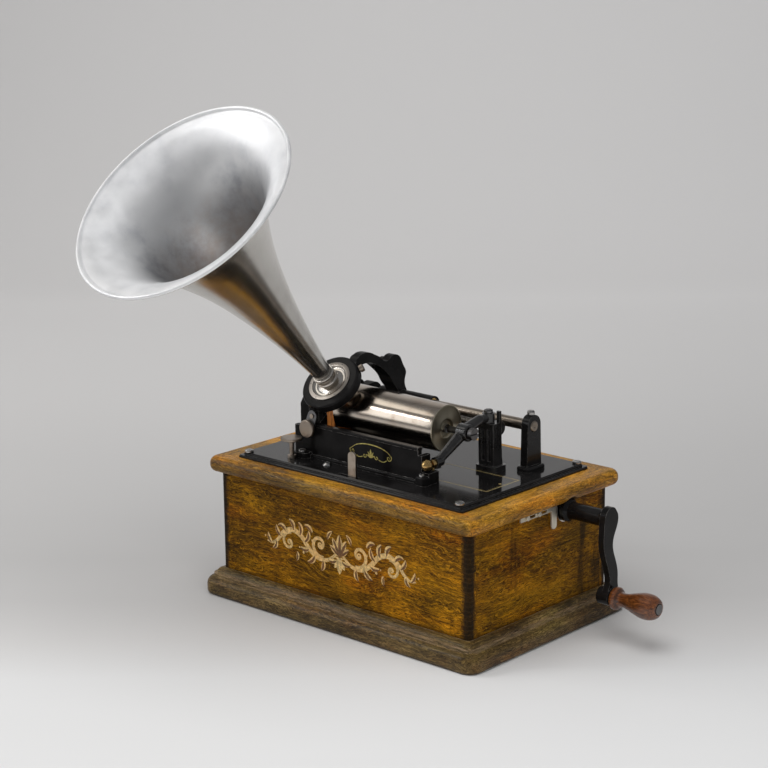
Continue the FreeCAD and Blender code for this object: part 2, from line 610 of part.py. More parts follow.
def sweep_x(edges, length):
    return Part.Face(Part.Wire(edges)).extrude(Vector(length, 0, 0))


arch = sweep_x([curve_at_x(ARCH_OUTER, ARCH_X),
                *lines_at_x([ARCH_OUTER[-1], ARCH_INNER[0]], ARCH_X),
                curve_at_x(ARCH_INNER, ARCH_X),
                *lines_at_x([ARCH_INNER[-1], ARCH_OUTER[0]], ARCH_X)], ARCH_T)
arch = arch.cut(sweep_x(
    [curve_at_x(ARCH_FLANGE, ARCH_X - 1),
     *lines_at_x([ARCH_FLANGE[-1]] + ABOVE_FLANGE + [ARCH_FLANGE[0]], ARCH_X - 1)], 9))

LIFT_PIN = (-64.5, 178.2)                        # lift lever pin, along Y, as (x, z)
THUMB = (-69.5, 165.8)                           # lift lever thumb piece, (x, z)
LIFT_PIN_R = 1.5
CLAMP_R = 1.75
clamp_dir = (FACE_UP * 0.73 + Vector(0.68, 0, 0)).normalize()
clamp_base = on_face(0, -RING_T / 2) + clamp_dir * 20.97

ring = cyl_horn(-RING_T, RING_OUTER_R, RING_T)
ring = fillet(ring, ring.Edges, 2.0)
rod_sleeve = cyl_x(-70.3, -6.5, ROD, 8.5)
spring_boss = box(-43, 30.4, 178.5, -31, 35.0, 184.0)
lift_ear = box(-70.0, -59.1, 174.0, -58.0, -53.6, 186.0)
export("carriage_arm", cut(fuse(arch, ring, rod_sleeve, spring_boss, lift_ear),
                           cyl_horn(-30, RING_INNER_R, 60),
                           cyl_x(-80, 0, ROD, BUSHING_R + RUNNING),
                           Part.makeCylinder(1.8, 20, clamp_base, clamp_dir),
                           cyl_y(-70, -50, LIFT_PIN, 1.52)))

# pin of the lift lever, and the screw that clamps the reproducer in the ring
lift_pin = fuse(cyl_y(-61.5, -53.8, LIFT_PIN, LIFT_PIN_R), cyl_y(-62.3, -61.5, LIFT_PIN, 2.1))
clamp_screw = fuse(
    Part.makeCylinder(CLAMP_R, 10.0, clamp_base + clamp_dir * 0.05, clamp_dir),
    Part.makeCylinder(3.6, 3.4, clamp_base + clamp_dir * 8.4, clamp_dir))
export("carriage_screws", group(lift_pin, clamp_screw))

# feed nut on its spring strip, resting on the feed screw
NUT_X0, NUT_X1 = -41.0, -33.0
spring_strip = box(NUT_X0, 16.5, 184.0, NUT_X1, 33.3, 185.0)
nut = cyl_x(NUT_X0, NUT_X1, FEED_SCREW, 6.6).fuse(box(NUT_X0, 18.5, 178.5, NUT_X1, 26.5, 184.0))
nut = cut(nut, cyl_x(-45.0, -30.0, FEED_SCREW, SCREW_R + 0.08),
          box(-45, 10, 160, -30, 35, FEED_SCREW[1] + 1.4))
export("feed_nut", fuse(nut, spring_strip))

# lift lever: flat blade with round ends, and its round thumb piece
LEVER_Y0, LEVER_Y1 = -61.4, -59.3
PIN_END_R, THUMB_END_R = 5.2, 5.6
across = math.atan2(THUMB[1] - LIFT_PIN[1], THUMB[0] - LIFT_PIN[0]) + math.pi / 2
blade = prism_y([polar(LIFT_PIN, PIN_END_R, across), polar(LIFT_PIN, -PIN_END_R, across),
                 polar(THUMB, -THUMB_END_R, across), polar(THUMB, THUMB_END_R, across)],
                LEVER_Y0, LEVER_Y1)
lever = fuse(blade, cyl_y(LEVER_Y0, LEVER_Y1, LIFT_PIN, PIN_END_R),
             cyl_y(LEVER_Y0, LEVER_Y1, THUMB, THUMB_END_R))
export("lift_lever", lever.cut(cyl_y(-70, -50, LIFT_PIN, LIFT_PIN_R + RUNNING)))

knob = cyl_y(-64.8, LEVER_Y0, THUMB, 8.4)
export("lift_lever_knob", fillet(knob, [e for e in knob.Edges if e.BoundBox.YMax < -64], 0.9))

# ============================== REPRODUCER ==============================
HINGE_UP, HINGE_OUT = 18.4, -9.6                 # floating weight hinge, up the face and out
HINGE_PIN_R = 0.8


def hinge_cyl(radius, length):
    """Cylinder centred on the weight hinge, along X."""
    return Part.makeCylinder(radius, length, on_face(HINGE_UP, HINGE_OUT, -length / 2), X_AXIS)


# profile: (radius, distance along the horn axis)
BODY_PROFILE = [(4.0, -3.4), (4.0, 17.0), (NECK_R, 17.0), (NECK_R, 2.6), (8.6, 1.0),
                (13.5, -0.6), (16.4, -0.2), (17.2, 1.3), (20.4, 1.3), (20.85, 0.9),
                (20.85, -8.6), (18.2, -8.6), (18.2, -3.4)]
body = revolve_horn(BODY_PROFILE).cut(beam(on_face(16.0, -8.0), on_face(22.5, -8.0), 6.4, 4.0))
hinge_lugs = []
for side in SIDES:
    lug = beam(on_face(HINGE_UP, -8.6, side * 4.5), on_face(HINGE_UP, -11.0, side * 4.5), 1.9, 2.3)
    hinge_lugs.append(lug.cut(hinge_cyl(HINGE_PIN_R + FIXED, 14)))
export("reproducer_body", fuse(body, Part.makeCompound(hinge_lugs)))

# gaskets on both faces of the diaphragm
export("diaphragm_gaskets", Part.makeCompound(
    [revolve_horn([(14.5, s), (18.15, s), (18.15, s + 1.15), (14.5, s + 1.15)])
     for s in (-4.6, -6.1)]))
diaphragm = revolve_horn([(0.0, -4.92), (18.1, -4.92), (18.1, -4.63), (0.0, -4.63)])
export("diaphragm", fuse(diaphragm, cyl_horn(-8.35, 0.5, 3.6)))

# floating weight: disc with flat sides, hinge tongue and stylus stub
WEIGHT_HALF_W = 12.5
weight = cut(cyl_horn(-11.6, 16.6, 2.6),
             box(-100, -100, 0, REPRODUCER.x - WEIGHT_HALF_W, 100, 400),
             box(REPRODUCER.x + WEIGHT_HALF_W, -100, 0, 100, 100, 400))
weight = fuse(weight, beam(on_face(14.0, -10.3), on_face(18.0, -10.3), 6.0, 2.6),
              hinge_cyl(1.9, 6.0),
              Part.makeCylinder(1.1, 1.7, on_face(-12.0, -13.2), HORN_AXIS))
weight = weight.cut(hinge_cyl(HINGE_PIN_R + RUNNING, 14))
export("floating_weight", fuse(weight, hinge_cyl(HINGE_PIN_R, 11.0)))

# ============================== HORN ==============================
collar_bore = NECK_R + RUNNING
export("horn_collar", revolve_horn(
    [(collar_bore, 3.2), (9.6, 3.2), (10.4, 4.0), (10.4, 5.6), (9.9, 6.2), (9.9, 10.6),
     (10.6, 11.2), (10.6, 13.0), (9.9, 13.6), (8.95, 13.6), (8.95, 7.5), (collar_bore, 7.5)]))

# outside of the horn: (distance along the axis, radius)
HORN_PROFILE = [(7.6, 8.6), (12, 8.6), (16.5, 8.95), (30, 10.3), (53, 13.3), (78, 17.3),
                (104, 22.0), (132, 28.2), (155, 34.3), (176, 41.3), (200, 51.2), (222, 63.0),
                (238, 75.8), (248, 89.6), (252.4, 100.9)]
NECK_END = 20                                    # the wall is thicker up to here
NECK_T, HORN_T = 1.4, 1.0
outside, inside = [], []
for s, r in HORN_PROFILE:
    wall_t, shift = (HORN_T, 0.25) if s > NECK_END else (NECK_T, 0)
    outside.append(on_face(0, s, r))
    inside.append(on_face(0, s + shift, r - wall_t))
horn_section = Part.Wire([spline(outside), Part.makeLine(outside[-1], inside[-1]),
                          spline(list(reversed(inside))), Part.makeLine(inside[0], outside[0])])
horn = Part.Face(horn_section).revolve(REPRODUCER, HORN_AXIS, 360)
mouth, mouth_r = HORN_PROFILE[-1]
export("horn", horn.fuse(Part.makeTorus(mouth_r + 0.6, 1.7, on_face(0, mouth + 0.8), HORN_AXIS)))

# ============================== SPEED SCREW AND START BAR ==============================
knob = cyl_z(155.2, 157.7, SPEED_SCREW, 10.0)
knob = fillet(knob, knob.Edges, 0.6)
export("speed_screw", fuse(cyl_z(109.6, 155.2, SPEED_SCREW, 2.2), knob,
                           cyl_z(BED_TOP + 0.2, BED_TOP + 3.2, SPEED_SCREW, 4.0),
                           cyl_z(153.0, 155.2, SPEED_SCREW, 3.4)))

# start and stop bar: upright strip, long bar under the bedplate, arm down to the governor
STRIP_TOP = 160.8
strip = box(-2.5, -80.9, 119.0, 6.5, -79.3, STRIP_TOP)
strip = fillet(strip, [e for e in strip.Edges
                       if abs(e.BoundBox.XMin - e.BoundBox.XMax) < 1e-6
                       and abs(e.BoundBox.ZMin - STRIP_TOP) < 1e-6], 4.0)
bar = fuse(strip,
           box(-2.5, -79.4, 119.0, 6.5, -65.0, 122.0),
           box(-103.0, -68.0, 119.0, 10.0, -65.0, 127.0),
           box(-103.0, -68.0, 66.0, -100.15, -58.0, 127.0),
           box(-103.0, -60.0, 66.0, -100.15, -28.3, 76.0))
bar = cut(bar, *[box(x - 2.1, -70, GUIDE_Z - 1.6, x + 10.1, -60, GUIDE_Z + 1.6)
                 for x in GUIDE_XS])
stop_shoe = box(-100.15, -34.5, 66.5, -98.15, -28.5, 75.5)
export("start_stop_bar", fuse(bar, stop_shoe))


# ============================== MOTOR FRAME ==============================
FOOT_Z = 129.0


def motor_plate(x0, x1, foot_x, foot_spans):
    """Plate with rounded lower corners and feet reaching right to foot_x."""
    plate = box(x0, -58.0, 38.0, x1, 60.0, BED_UNDER)
    lower = [e for e in plate.Edges
             if abs(e.BoundBox.XMax - e.BoundBox.XMin - (x1 - x0)) < 1e-6
             and e.BoundBox.ZMax < 40]
    feet = []
    for y0, y1 in foot_spans:
        feet.append(box(x1 - 0.1, y0, FOOT_Z, foot_x, y1, BED_UNDER))
        feet.append(box(x0, y0, FOOT_Z, x1, y1, BED_UNDER))
    return fuse(fillet(plate, lower, 8.0), *feet)


def plate_holes(x0, x1, holes):
    return [cyl_x(x0, x1, centre, radius) for centre, radius in holes]


pillar_holes = [(centre, PILLAR_END_R + FIXED) for centre in PILLARS]
arbor_holes = [(BARREL, ARBOR_R + RUNNING), (SECOND, SMALL_ARBOR_R + RUNNING)]
left_plate = cut(
    motor_plate(LEFT_X0, LEFT_X1, -34.5, [(-72.0, -57.0), (57.0, 69.0)]),
    *[cyl_z(120, 140, at, 2.02) for at in MOTOR_SCREWS[:2]],
    *plate_holes(-60, -40, pillar_holes + arbor_holes + [
        (PULLEY, SMALL_ARBOR_R + RUNNING), (GOVERNOR, SPINDLE_R + RUNNING)]))
right_plate = cut(
    motor_plate(RIGHT_X0, RIGHT_X1, 97.0, [(54.0, 68.0)]),
    cyl_z(120, 140, MOTOR_SCREWS[2], 2.02),
    *plate_holes(60, 80, pillar_holes + arbor_holes + [
        (CRANK, ARBOR_R + RUNNING), (PAWL, PAWL_STUD_R + FIXED)]))
export("motor_plates", group(left_plate, right_plate))
export("motor_pillars", Part.makeCompound(
    [fuse(cyl_x(LEFT_X1, RIGHT_X0, centre, 4.2), cyl_x(-53.5, 75.5, centre, PILLAR_END_R))
     for centre in PILLARS]))

# ============================== MOTOR TRAIN ==============================
GREAT_MODULE, FINE_MODULE, WINDING_MODULE = 1.0, 0.8, 1.25
GREAT_TEETH, SECOND_PINION_TEETH = 84, 14
SECOND_WHEEL_TEETH, PULLEY_PINION_TEETH = 60, 15
GOVERNOR_WHEEL_TEETH, GOVERNOR_PINION_TEETH = 48, 12
WINDING_TEETH, WINDING_PINION_TEETH = 42, 14
GREAT_PHASE, SECOND_PHASE, GOVERNOR_PHASE, WINDING_PHASE = 0.0, 0.2, 0.1, 0.0
ARBOR_X0, ARBOR_X1 = -51.8, 73.8
BARREL_R, BARREL_INNER_R = 36.0, 33.8

# spring barrel, open to the right, with the great wheel on its left face
bore = ARBOR_R + RUNNING
drum = revolve_x([(BARREL_R, -32.9), (BARREL_R, 46.0), (BARREL_INNER_R, 46.0),
                  (BARREL_INNER_R, -30.4), (bore, -30.4), (bore, -32.9)], BARREL)
great_wheel = gear(GREAT_TEETH, GREAT_MODULE, BARREL, -37.9, -32.9, bore, GREAT_PHASE)
great_wheel = lighten(great_wheel, BARREL, 6, 23, 7.0, -40, -30, start=30)
export("spring_barrel", fuse(drum, great_wheel))
export("barrel_cover", revolve_x([(bore, 44.4), (33.75, 44.4), (33.75, 46.0), (BARREL_R, 46.02),
                                  (BARREL_R, 47.4), (bore, 47.4)], BARREL))

# mainspring: a wound ribbon between the arbor hub and the barrel wall
TURN_STEPS, TURNS = 26, 9
SPRING_R0, SPRING_R1, SPRING_T = 8.6, 33.2, 0.9
ribbon_inner, ribbon_outer = [], []
for k in range(TURN_STEPS * TURNS + 1):
    angle = 2 * math.pi * k / TURN_STEPS
    r = SPRING_R0 + (SPRING_R1 - SPRING_R0 - SPRING_T) * k / (TURN_STEPS * TURNS)
    ribbon_inner.append(polar(BARREL, r, angle))
    ribbon_outer.append(polar(BARREL, r + SPRING_T, angle))
export("mainspring", prism_x(ribbon_outer + ribbon_inner[::-1], -29.5, 43.5))

# barrel arbor with its hub and the winding wheel
barrel_arbor = fuse(cyl_x(ARBOR_X0, ARBOR_X1, BARREL, ARBOR_R), cyl_x(-30.2, 44.2, BARREL, 8.0))
export("winding_arbor", fuse(barrel_arbor, gear(
    WINDING_TEETH, WINDING_MODULE, BARREL, 52.0, 59.0, ARBOR_R - 0.5, WINDING_PHASE)))

# second arbor: pinion driven by the great wheel, and a wheel on its left
bore = SMALL_ARBOR_R - 0.5
pinion_phase = mesh_phase(GREAT_TEETH, GREAT_PHASE, BARREL, SECOND_PINION_TEETH, SECOND)
pinion = gear(SECOND_PINION_TEETH, GREAT_MODULE, SECOND, -38.4, -32.5, bore, pinion_phase)
wheel = gear(SECOND_WHEEL_TEETH, FINE_MODULE, SECOND, -46.0, -42.0, bore, SECOND_PHASE)
wheel = lighten(wheel, SECOND, 5, 14, 5.0, -50, -40)
export("intermediate_arbor", fuse(cyl_x(ARBOR_X0, ARBOR_X1, SECOND, SMALL_ARBOR_R),
                                  pinion, wheel))

# pulley arbor: pinion driven by the second wheel, and the governor wheel
pinion_phase = mesh_phase(SECOND_WHEEL_TEETH, SECOND_PHASE, SECOND, PULLEY_PINION_TEETH, PULLEY)
pinion = gear(PULLEY_PINION_TEETH, FINE_MODULE, PULLEY, -46.2, -41.8, bore, pinion_phase)
wheel = gear(GOVERNOR_WHEEL_TEETH, FINE_MODULE, PULLEY, -58.0, -54.0, bore, GOVERNOR_PHASE)
export("pulley_arbor", fuse(cyl_x(-79.0, -40.5, PULLEY, SMALL_ARBOR_R), pinion, wheel))
export("motor_pulley", pulley(SMALL_ARBOR_R + FIXED, PULLEY))

# ============================== GOVERNOR AND BRAKE ==============================
pinion_phase = mesh_phase(GOVERNOR_WHEEL_TEETH, GOVERNOR_PHASE, PULLEY,
                          GOVERNOR_PINION_TEETH, GOVERNOR)
pinion = gear(GOVERNOR_PINION_TEETH, FINE_MODULE, GOVERNOR, -58.4, -53.6, 2.0, pinion_phase)
spindle = fuse(cyl_x(-123.0, -48.6, GOVERNOR, SPINDLE_R), cyl_x(-84.0, -80.0, GOVERNOR, 8.0))
disc = revolve_x([(2.0, -98.0), (13.0, -98.0), (13.0, -95.6), (8.0, -95.0), (2.0, -95.0)],
                 GOVERNOR)
export("governor_spindle", fuse(spindle, pinion, disc))


def around_spindle(shape, degrees):
    return shape.rotated(Vector(0, 0, 0), X_AXIS, degrees).translated(Vector(0, *GOVERNOR))


# three ball weights on leaf springs
springs, weights = [], []
for turn in (0, 120, 240):
    springs.append(around_spindle(box(-95.0, -2.4, 6.0, -84.0, 2.4, 6.7), turn))
    ball_centre = polar(GOVERNOR, 10.2, math.radians(90 + turn))
    ball = Part.makeSphere(4.1, Vector(-89.5, *ball_centre))
    weights.append(ball.cut(around_spindle(box(-95.5, -3, 5, -83.5, 3, 6.72), turn)))
export("governor_weights", group(*weights, *springs))

# speed brake: rocker under the bedplate with a pad against the governor disc; (x, z)
ROCKER_ARM = [(-94.5, 104), (-78.0, 106.2), (-78.0, 109.0), (-92.0, 109.0), (-94.5, 107)]
BRAKE_ARM = [(-94.8, 106), (-92, 109), (-89.2, 106), (-92.0, 100), (-100.2, 90), (-100.2, 76),
             (-102.6, 76), (-102.6, 91)]
rocker = fuse(cyl_y(-75.0, -19.0, ROCKER, 3.0), prism_y(ROCKER_ARM, -74.5, -68.5),
              prism_y(BRAKE_ARM, -27.0, -20.5))
brake_pad = box(-100.2, -26.8, 76.5, -99.0, -20.7, 83.0)
export("speed_brake_lever", fuse(rocker, brake_pad))

# ============================== WINDING ==============================
RATCHET_TEETH = 16
RATCHET_ROOT_R, RATCHET_MID_R, RATCHET_TIP_R = 11.0, 12.0, 13.0
tooth_angle = 2 * math.pi / RATCHET_TEETH
ratchet_outline = []
for k in range(RATCHET_TEETH):
    root = tooth_angle * k
    ratchet_outline += [polar(CRANK, RATCHET_ROOT_R, root),
                        polar(CRANK, RATCHET_MID_R, root + tooth_angle * 0.5),
                        polar(CRANK, RATCHET_TIP_R, root + tooth_angle - 0.03)]
ratchet = prism_x(ratchet_outline, 62.0, 67.0).cut(cyl_x(60, 70, CRANK, ARBOR_R - 0.5))
pinion_phase = mesh_phase(WINDING_TEETH, WINDING_PHASE, BARREL, WINDING_PINION_TEETH, CRANK)
pinion = gear(WINDING_PINION_TEETH, WINDING_MODULE, CRANK, 51.6, 59.4, ARBOR_R - 0.5,
              pinion_phase)
winding_shaft = fuse(cyl_x(50.0, 152.0, CRANK, ARBOR_R), cyl_x(76.0, 79.0, CRANK, 7.0))
export("winding_shaft", fuse(winding_shaft, pinion, ratchet))

# pawl at the top of its click, just clear of the tooth tips
pawl_y, pawl_z = PAWL
crank_y, crank_z = CRANK
pawl = fuse(cyl_x(62.2, 66.8, PAWL, 3.6), prism_x(
    [(pawl_y - 1.5, pawl_z + 3.2), (crank_y - 0.4, crank_z + 15.2),
     (crank_y - 0.4, crank_z + 13.15), (crank_y - 2.4, crank_z + 13.3),
     (pawl_y + 3.2, pawl_z - 1.2), (pawl_y + 1.2, pawl_z - 3.3)], 62.2, 66.8))
export("ratchet_pawl", pawl.cut(cyl_x(60, 70, PAWL, PAWL_STUD_R + RUNNING)))

# flanged bush in the right board
bush = fuse(cyl_x(138.0, 147.0, CRANK, 6.35), cyl_x(146.9, 148.6, CRANK, 11.6))
export("crank_escutcheon", bush.cut(cyl_x(100, 200, CRANK, ARBOR_R + 0.1)))

# ============================== CRANK ==============================
ARM_X0, ARM_X1 = 192.0, 198.0
PIN_R = 2.5
# sleeve: (radius, x)
SLEEVE = [(ARBOR_R + FIXED, 149.4), (9.2, 149.4), (10.6, 150.2), (10.6, 154.0), (8.2, 156.5),
          (7.6, 160.0), (7.6, 189.0), (8.6, 192.5), (8.6, 196.0), (0.0, 196.0), (0.0, 152.2),
          (ARBOR_R + FIXED, 152.2)]
# arm outline (y, z): down the back edge, then up the front edge
ARM_OUTLINE = [(43.6, 116.5), (45.6, 111.0), (44.6, 105.0), (41.2, 98.0), (38.6, 91.0),
               (38.8, 83.5), (41.2, 76.5), (44.4, 68.2), (46.2, 59.5), (46.4, 50.6),
               (46.2, 43.0),
               (31.5, 42.0), (34.4, 51.0), (34.2, 60.0), (31.4, 69.0), (28.2, 77.0),
               (25.6, 86.0), (25.0, 95.0), (25.6, 104.0), (26.2, 112.0), (29.2, 119.0),
               (34.5, 121.8), (40.2, 120.6)]
arm_edge = spline([Vector(ARM_X0, y, z) for y, z in ARM_OUTLINE], PeriodicFlag=True)
arm = sweep_x([arm_edge], ARM_X1 - ARM_X0)
arm = fillet(arm, arm.Edges, 2.2)
boss = cyl_x(186.0, 199.0, HANDLE, 8.0)
boss = fillet(boss, boss.Edges, 1.2)
export("crank_arm", fuse(revolve_x(SLEEVE, CRANK), arm, boss)
       .cut(cyl_x(180, 210, HANDLE, PIN_R + FIXED)))

# turned handle: (radius, x)
grip_bore = PIN_R + RUNNING
export("crank_handle", revolve_x(
    [(grip_bore, 200.0), (6.6, 200.0), (9.4, 201.2), (10.2, 203.4), (9.4, 206.0), (7.0, 207.6),
     (6.3, 210.3), (6.9, 215.5), (8.7, 221.5), (10.6, 228.0), (11.5, 233.5), (11.2, 239.0),
     (9.7, 243.8), (7.2, 246.6), (5.2, 247.2), (5.2, 245.6), (grip_bore, 245.6)], HANDLE))
export("handle_pin", fuse(cyl_x(186.5, 245.9, HANDLE, PIN_R), cyl_x(245.9, 247.7, HANDLE, 4.7),
                          cyl_x(199.0, 199.8, HANDLE, 5.5)))

# ============================== LID LOCK ==============================
# L-shaped slide on the right board, slotted for its two screws
LOCK_X0, LOCK_X1, LOCK_Z0 = 147.2, 149.0, 96.5
lock = fuse(box(LOCK_X0, -27.8, 113.0, LOCK_X1, 22.6, 117.4),
            box(LOCK_X0, 15.4, LOCK_Z0, LOCK_X1, 22.6, 115.0))
lock = fillet(lock, [e for e in lock.Edges
                     if abs(e.BoundBox.ZMin - LOCK_Z0) < 1e-6
                     and abs(e.BoundBox.XMin - e.BoundBox.XMax) > 1], 3.3)
export("lid_lock", cut(lock, *[box(140, y - 1.5, LOCK_SCREW_Z - 1.2, 155, y + 11.5,
                                   LOCK_SCREW_Z + 1.2) for y in LOCK_SCREW_YS]))
export("lid_lock_screws", Part.makeCompound(
    [fuse(cyl_x(140.0, 149.2, (y, LOCK_SCREW_Z), 1.15), cyl_x(149.2, 150.4, (y, LOCK_SCREW_Z), 2.2))
     for y in LOCK_SCREW_YS]))
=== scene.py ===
# A cylinder phonograph in an oak case, dressed over its CAD pieces.
# The mandrel, feed screw and back rod lie along X with the crank at +X. The front faces -Y
# and Z is up. Pieces are measured in millimetres, the stage and its lights in metres.
import math

import bpy
import bmesh
from mathutils import Matrix, Vector

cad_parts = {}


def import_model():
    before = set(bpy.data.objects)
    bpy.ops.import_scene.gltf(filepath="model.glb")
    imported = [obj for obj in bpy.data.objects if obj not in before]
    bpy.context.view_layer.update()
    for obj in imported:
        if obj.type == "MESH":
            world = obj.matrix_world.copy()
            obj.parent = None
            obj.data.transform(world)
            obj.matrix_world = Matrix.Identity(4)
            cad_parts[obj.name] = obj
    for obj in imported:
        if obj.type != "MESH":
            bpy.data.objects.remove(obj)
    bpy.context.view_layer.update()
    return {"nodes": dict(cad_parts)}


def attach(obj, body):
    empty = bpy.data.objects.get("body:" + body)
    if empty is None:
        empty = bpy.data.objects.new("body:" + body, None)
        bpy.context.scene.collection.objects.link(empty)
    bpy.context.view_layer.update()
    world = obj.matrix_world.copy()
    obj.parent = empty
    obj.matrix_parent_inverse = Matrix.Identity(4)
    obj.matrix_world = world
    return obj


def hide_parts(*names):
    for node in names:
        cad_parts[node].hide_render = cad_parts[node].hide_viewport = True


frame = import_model()

NODES = frame["nodes"]
COLLECTION = bpy.context.scene.collection
FINISHES = {}  # every material made below, by name

# ----------------------------------------------------------------------------
# shared dimensions, millimetres
# ----------------------------------------------------------------------------
MM = 0.001
X_AXIS = Vector((1.0, 0.0, 0.0))
CASE_X, CASE_Y = -1.9, 2.2  # middle of the case
MANDREL = (0, -13.8, 177.5)
BACK_ROD = (0, 39.4, 178.0)
FEED_SCREW = (0, 22.5, 175.5)
LIFT_KNOB = (-69.5, 0, 165.8)
CRANK_HANDLE = (0, 38.0, 40.0)
# the reproducer's face looks up and forward, and carries the horn on its axis
REPRODUCER = Vector((-60.0, -42.2, 207.3))
TILT = math.radians(47.2)
HORN_AXIS = Vector((0.0, -math.cos(TILT), math.sin(TILT)))
FACE_UP = Vector((0.0, math.sin(TILT), math.cos(TILT)))
BOARD_FRONT_Y = -94.2
CASTING_FRONT_Y = -57.4
BEDPLATE_TOP_Z = 138.0


# ----------------------------------------------------------------------------
# node tree helpers
# ----------------------------------------------------------------------------
class Field:
    """A node output. Arithmetic and methods on it add nodes to its material."""

    def __init__(self, mat, socket):
        self.mat = mat
        self.socket = socket

    def __add__(self, other):
        return self.mat.math("ADD", self, other)

    def __sub__(self, other):
        return self.mat.math("SUBTRACT", self, other)

    def __rsub__(self, other):
        return self.mat.math("SUBTRACT", other, self)

    def __mul__(self, other):
        return self.mat.math("MULTIPLY", self, other)

    def __abs__(self):
        return self.mat.math("ABSOLUTE", self)

    def max(self, other):
        return self.mat.math("MAXIMUM", self, other)

    def clamped(self):
        """Clamps the math node that makes this field."""
        self.socket.node.use_clamp = True
        return self

    def dot(self, other):
        return self.mat.node("ShaderNodeVectorMath", {0: self, 1: other}, "Value",
                             operation="DOT_PRODUCT")

    def scaled(self, frequency):
        """The point to sample and the texture scale. A triple stretches each axis."""
        if isinstance(frequency, tuple):
            point = self.mat.node("ShaderNodeVectorMath", {0: self, 1: frequency},
                                  operation="MULTIPLY")
            return point, 1.0
        return self, frequency

    def noise(self, frequency, detail=4, rough=0.6, distortion=0.0):
        point, scale = self.scaled(frequency)
        inputs = {"Vector": point, "Scale": scale, "Detail": detail, "Roughness": rough,
                  "Distortion": distortion}
        return self.mat.node("ShaderNodeTexNoise", inputs)

    def cells(self, frequency, feature="F1"):
        point, scale = self.scaled(frequency)
        return self.mat.node("ShaderNodeTexVoronoi", {"Vector": point, "Scale": scale},
                             "Distance", feature=feature)

    def remap(self, low, high, to_low=0, to_high=1, curve="LINEAR"):
        """Takes low..high to to_low..to_high, held at both ends."""
        return self.mat.node("ShaderNodeMapRange",
                             dict(enumerate((self, low, high, to_low, to_high))),
                             interpolation_type=curve, clamp=True)

    def step(self, low, high, to_low=0, to_high=1):
        """remap with an eased start and end."""
        return self.remap(low, high, to_low, to_high, "SMOOTHSTEP")

    def mix(self, factor, colour):
        return self.mat.mix(factor, self, colour)

    def times(self, colour):
        return self.mat.mix(1.0, self, colour, "MULTIPLY")

    def ramp(self, stops):
        """Colours by (position, colour) stops."""
        field = self.mat.node("ShaderNodeValToRGB", {0: self})
        elements = field.socket.node.color_ramp.elements
        while len(elements) < len(stops):
            elements.new(0.5)
        for element, (position, colour) in zip(elements, stops):
            element.position = position
            element.color = (*colour, 1.0)
        return field


class Finish:
    """A principled material. `point` is the resting piece in millimetres."""

    def __init__(self, name, coat=0.0, coat_rough=0.05, aniso=0.0):
        material = bpy.data.materials.new(name)
        material.use_nodes = True
        FINISHES[name] = material
        self.tree = material.node_tree
        self.tree.nodes.clear()
        output = self.tree.nodes.new("ShaderNodeOutputMaterial")
        self.shader = self.tree.nodes.new("ShaderNodeBsdfPrincipled")
        self.tree.links.new(self.shader.outputs[0], output.inputs[0])
        self.set("Coat Weight", coat)
        self.set("Coat Roughness", coat_rough)
        self.set("Anisotropic", aniso)
        self.set("IOR", 1.5)
        metres = self.node("ShaderNodeTexCoord", output="Object")
        self.point = self.node("ShaderNodeVectorMath", {0: metres, "Scale": 1000.0},
                               operation="SCALE")

    def node(self, kind, inputs={}, output=0, **settings):
        node = self.tree.nodes.new(kind)
        for key, value in settings.items():
            setattr(node, key, value)
        for key, value in inputs.items():
            self.put(node.inputs[key], value)
        return Field(self, node.outputs[output])

    def put(self, socket, value):
        if isinstance(value, Field):
            self.tree.links.new(value.socket, socket)
            return
        if socket.type == "RGBA":
            value = (*value, 1.0)
        socket.default_value = value

    def set(self, name, value):
        self.put(self.shader.inputs[name], value)

    def math(self, operation, *inputs):
        return self.node("ShaderNodeMath", dict(enumerate(inputs)), operation=operation)

    def split(self, vector):
        x = self.node("ShaderNodeSeparateXYZ", {0: vector})
        return [Field(self, socket) for socket in x.socket.node.outputs]

    def vector(self, x, y, z):
        return self.node("ShaderNodeCombineXYZ", {0: x, 1: y, 2: z})

    def mix(self, factor, first, second, blend="MIX"):
        return self.node("ShaderNodeMix", {0: factor, 6: first, 7: second}, 2,
                         data_type="RGBA", blend_type=blend)

    def mix_value(self, factor, first, second):
        return self.node("ShaderNodeMix", {0: factor, 2: first, 3: second},
                         data_type="FLOAT")

    def bevel(self, radius, samples=4):
        """The normal with corners rounded by a radius in metres."""
        return self.node("ShaderNodeBevel", {"Radius": radius}, samples=samples)

    def bump(self, height, strength, distance, normal=None):
        """Sets the normal from a height field. Distance is in metres."""
        inputs = {"Height": height, "Strength": strength, "Distance": distance}
        if normal is not None:
            inputs["Normal"] = normal
        self.set("Normal", self.node("ShaderNodeBump", inputs))

    def edge(self, radius, low, high):
        """1 along outside corners, 0 on flat ground; worn metal on the enamel, worn wood and
        painted highlight on the mouldings.
        """
        normal = self.node("ShaderNodeNewGeometry", output="Normal")
        bevel = self.bevel(radius, samples=6)
        return (1.0 - bevel.dot(normal)).remap(low, high)

    def lath(self):
        """The turned coordinate of lathed meshes: (r cos, r sin, length), mm."""
        return self.node("ShaderNodeAttribute", output="Vector", attribute_name="lath")

    def tangent_round_axis(self):
        self.set("Tangent", self.node("ShaderNodeTangent", direction_type="UV_MAP",
                                      uv_map="uv"))


def darker(colour, factor):
    return tuple(channel * factor for channel in colour)


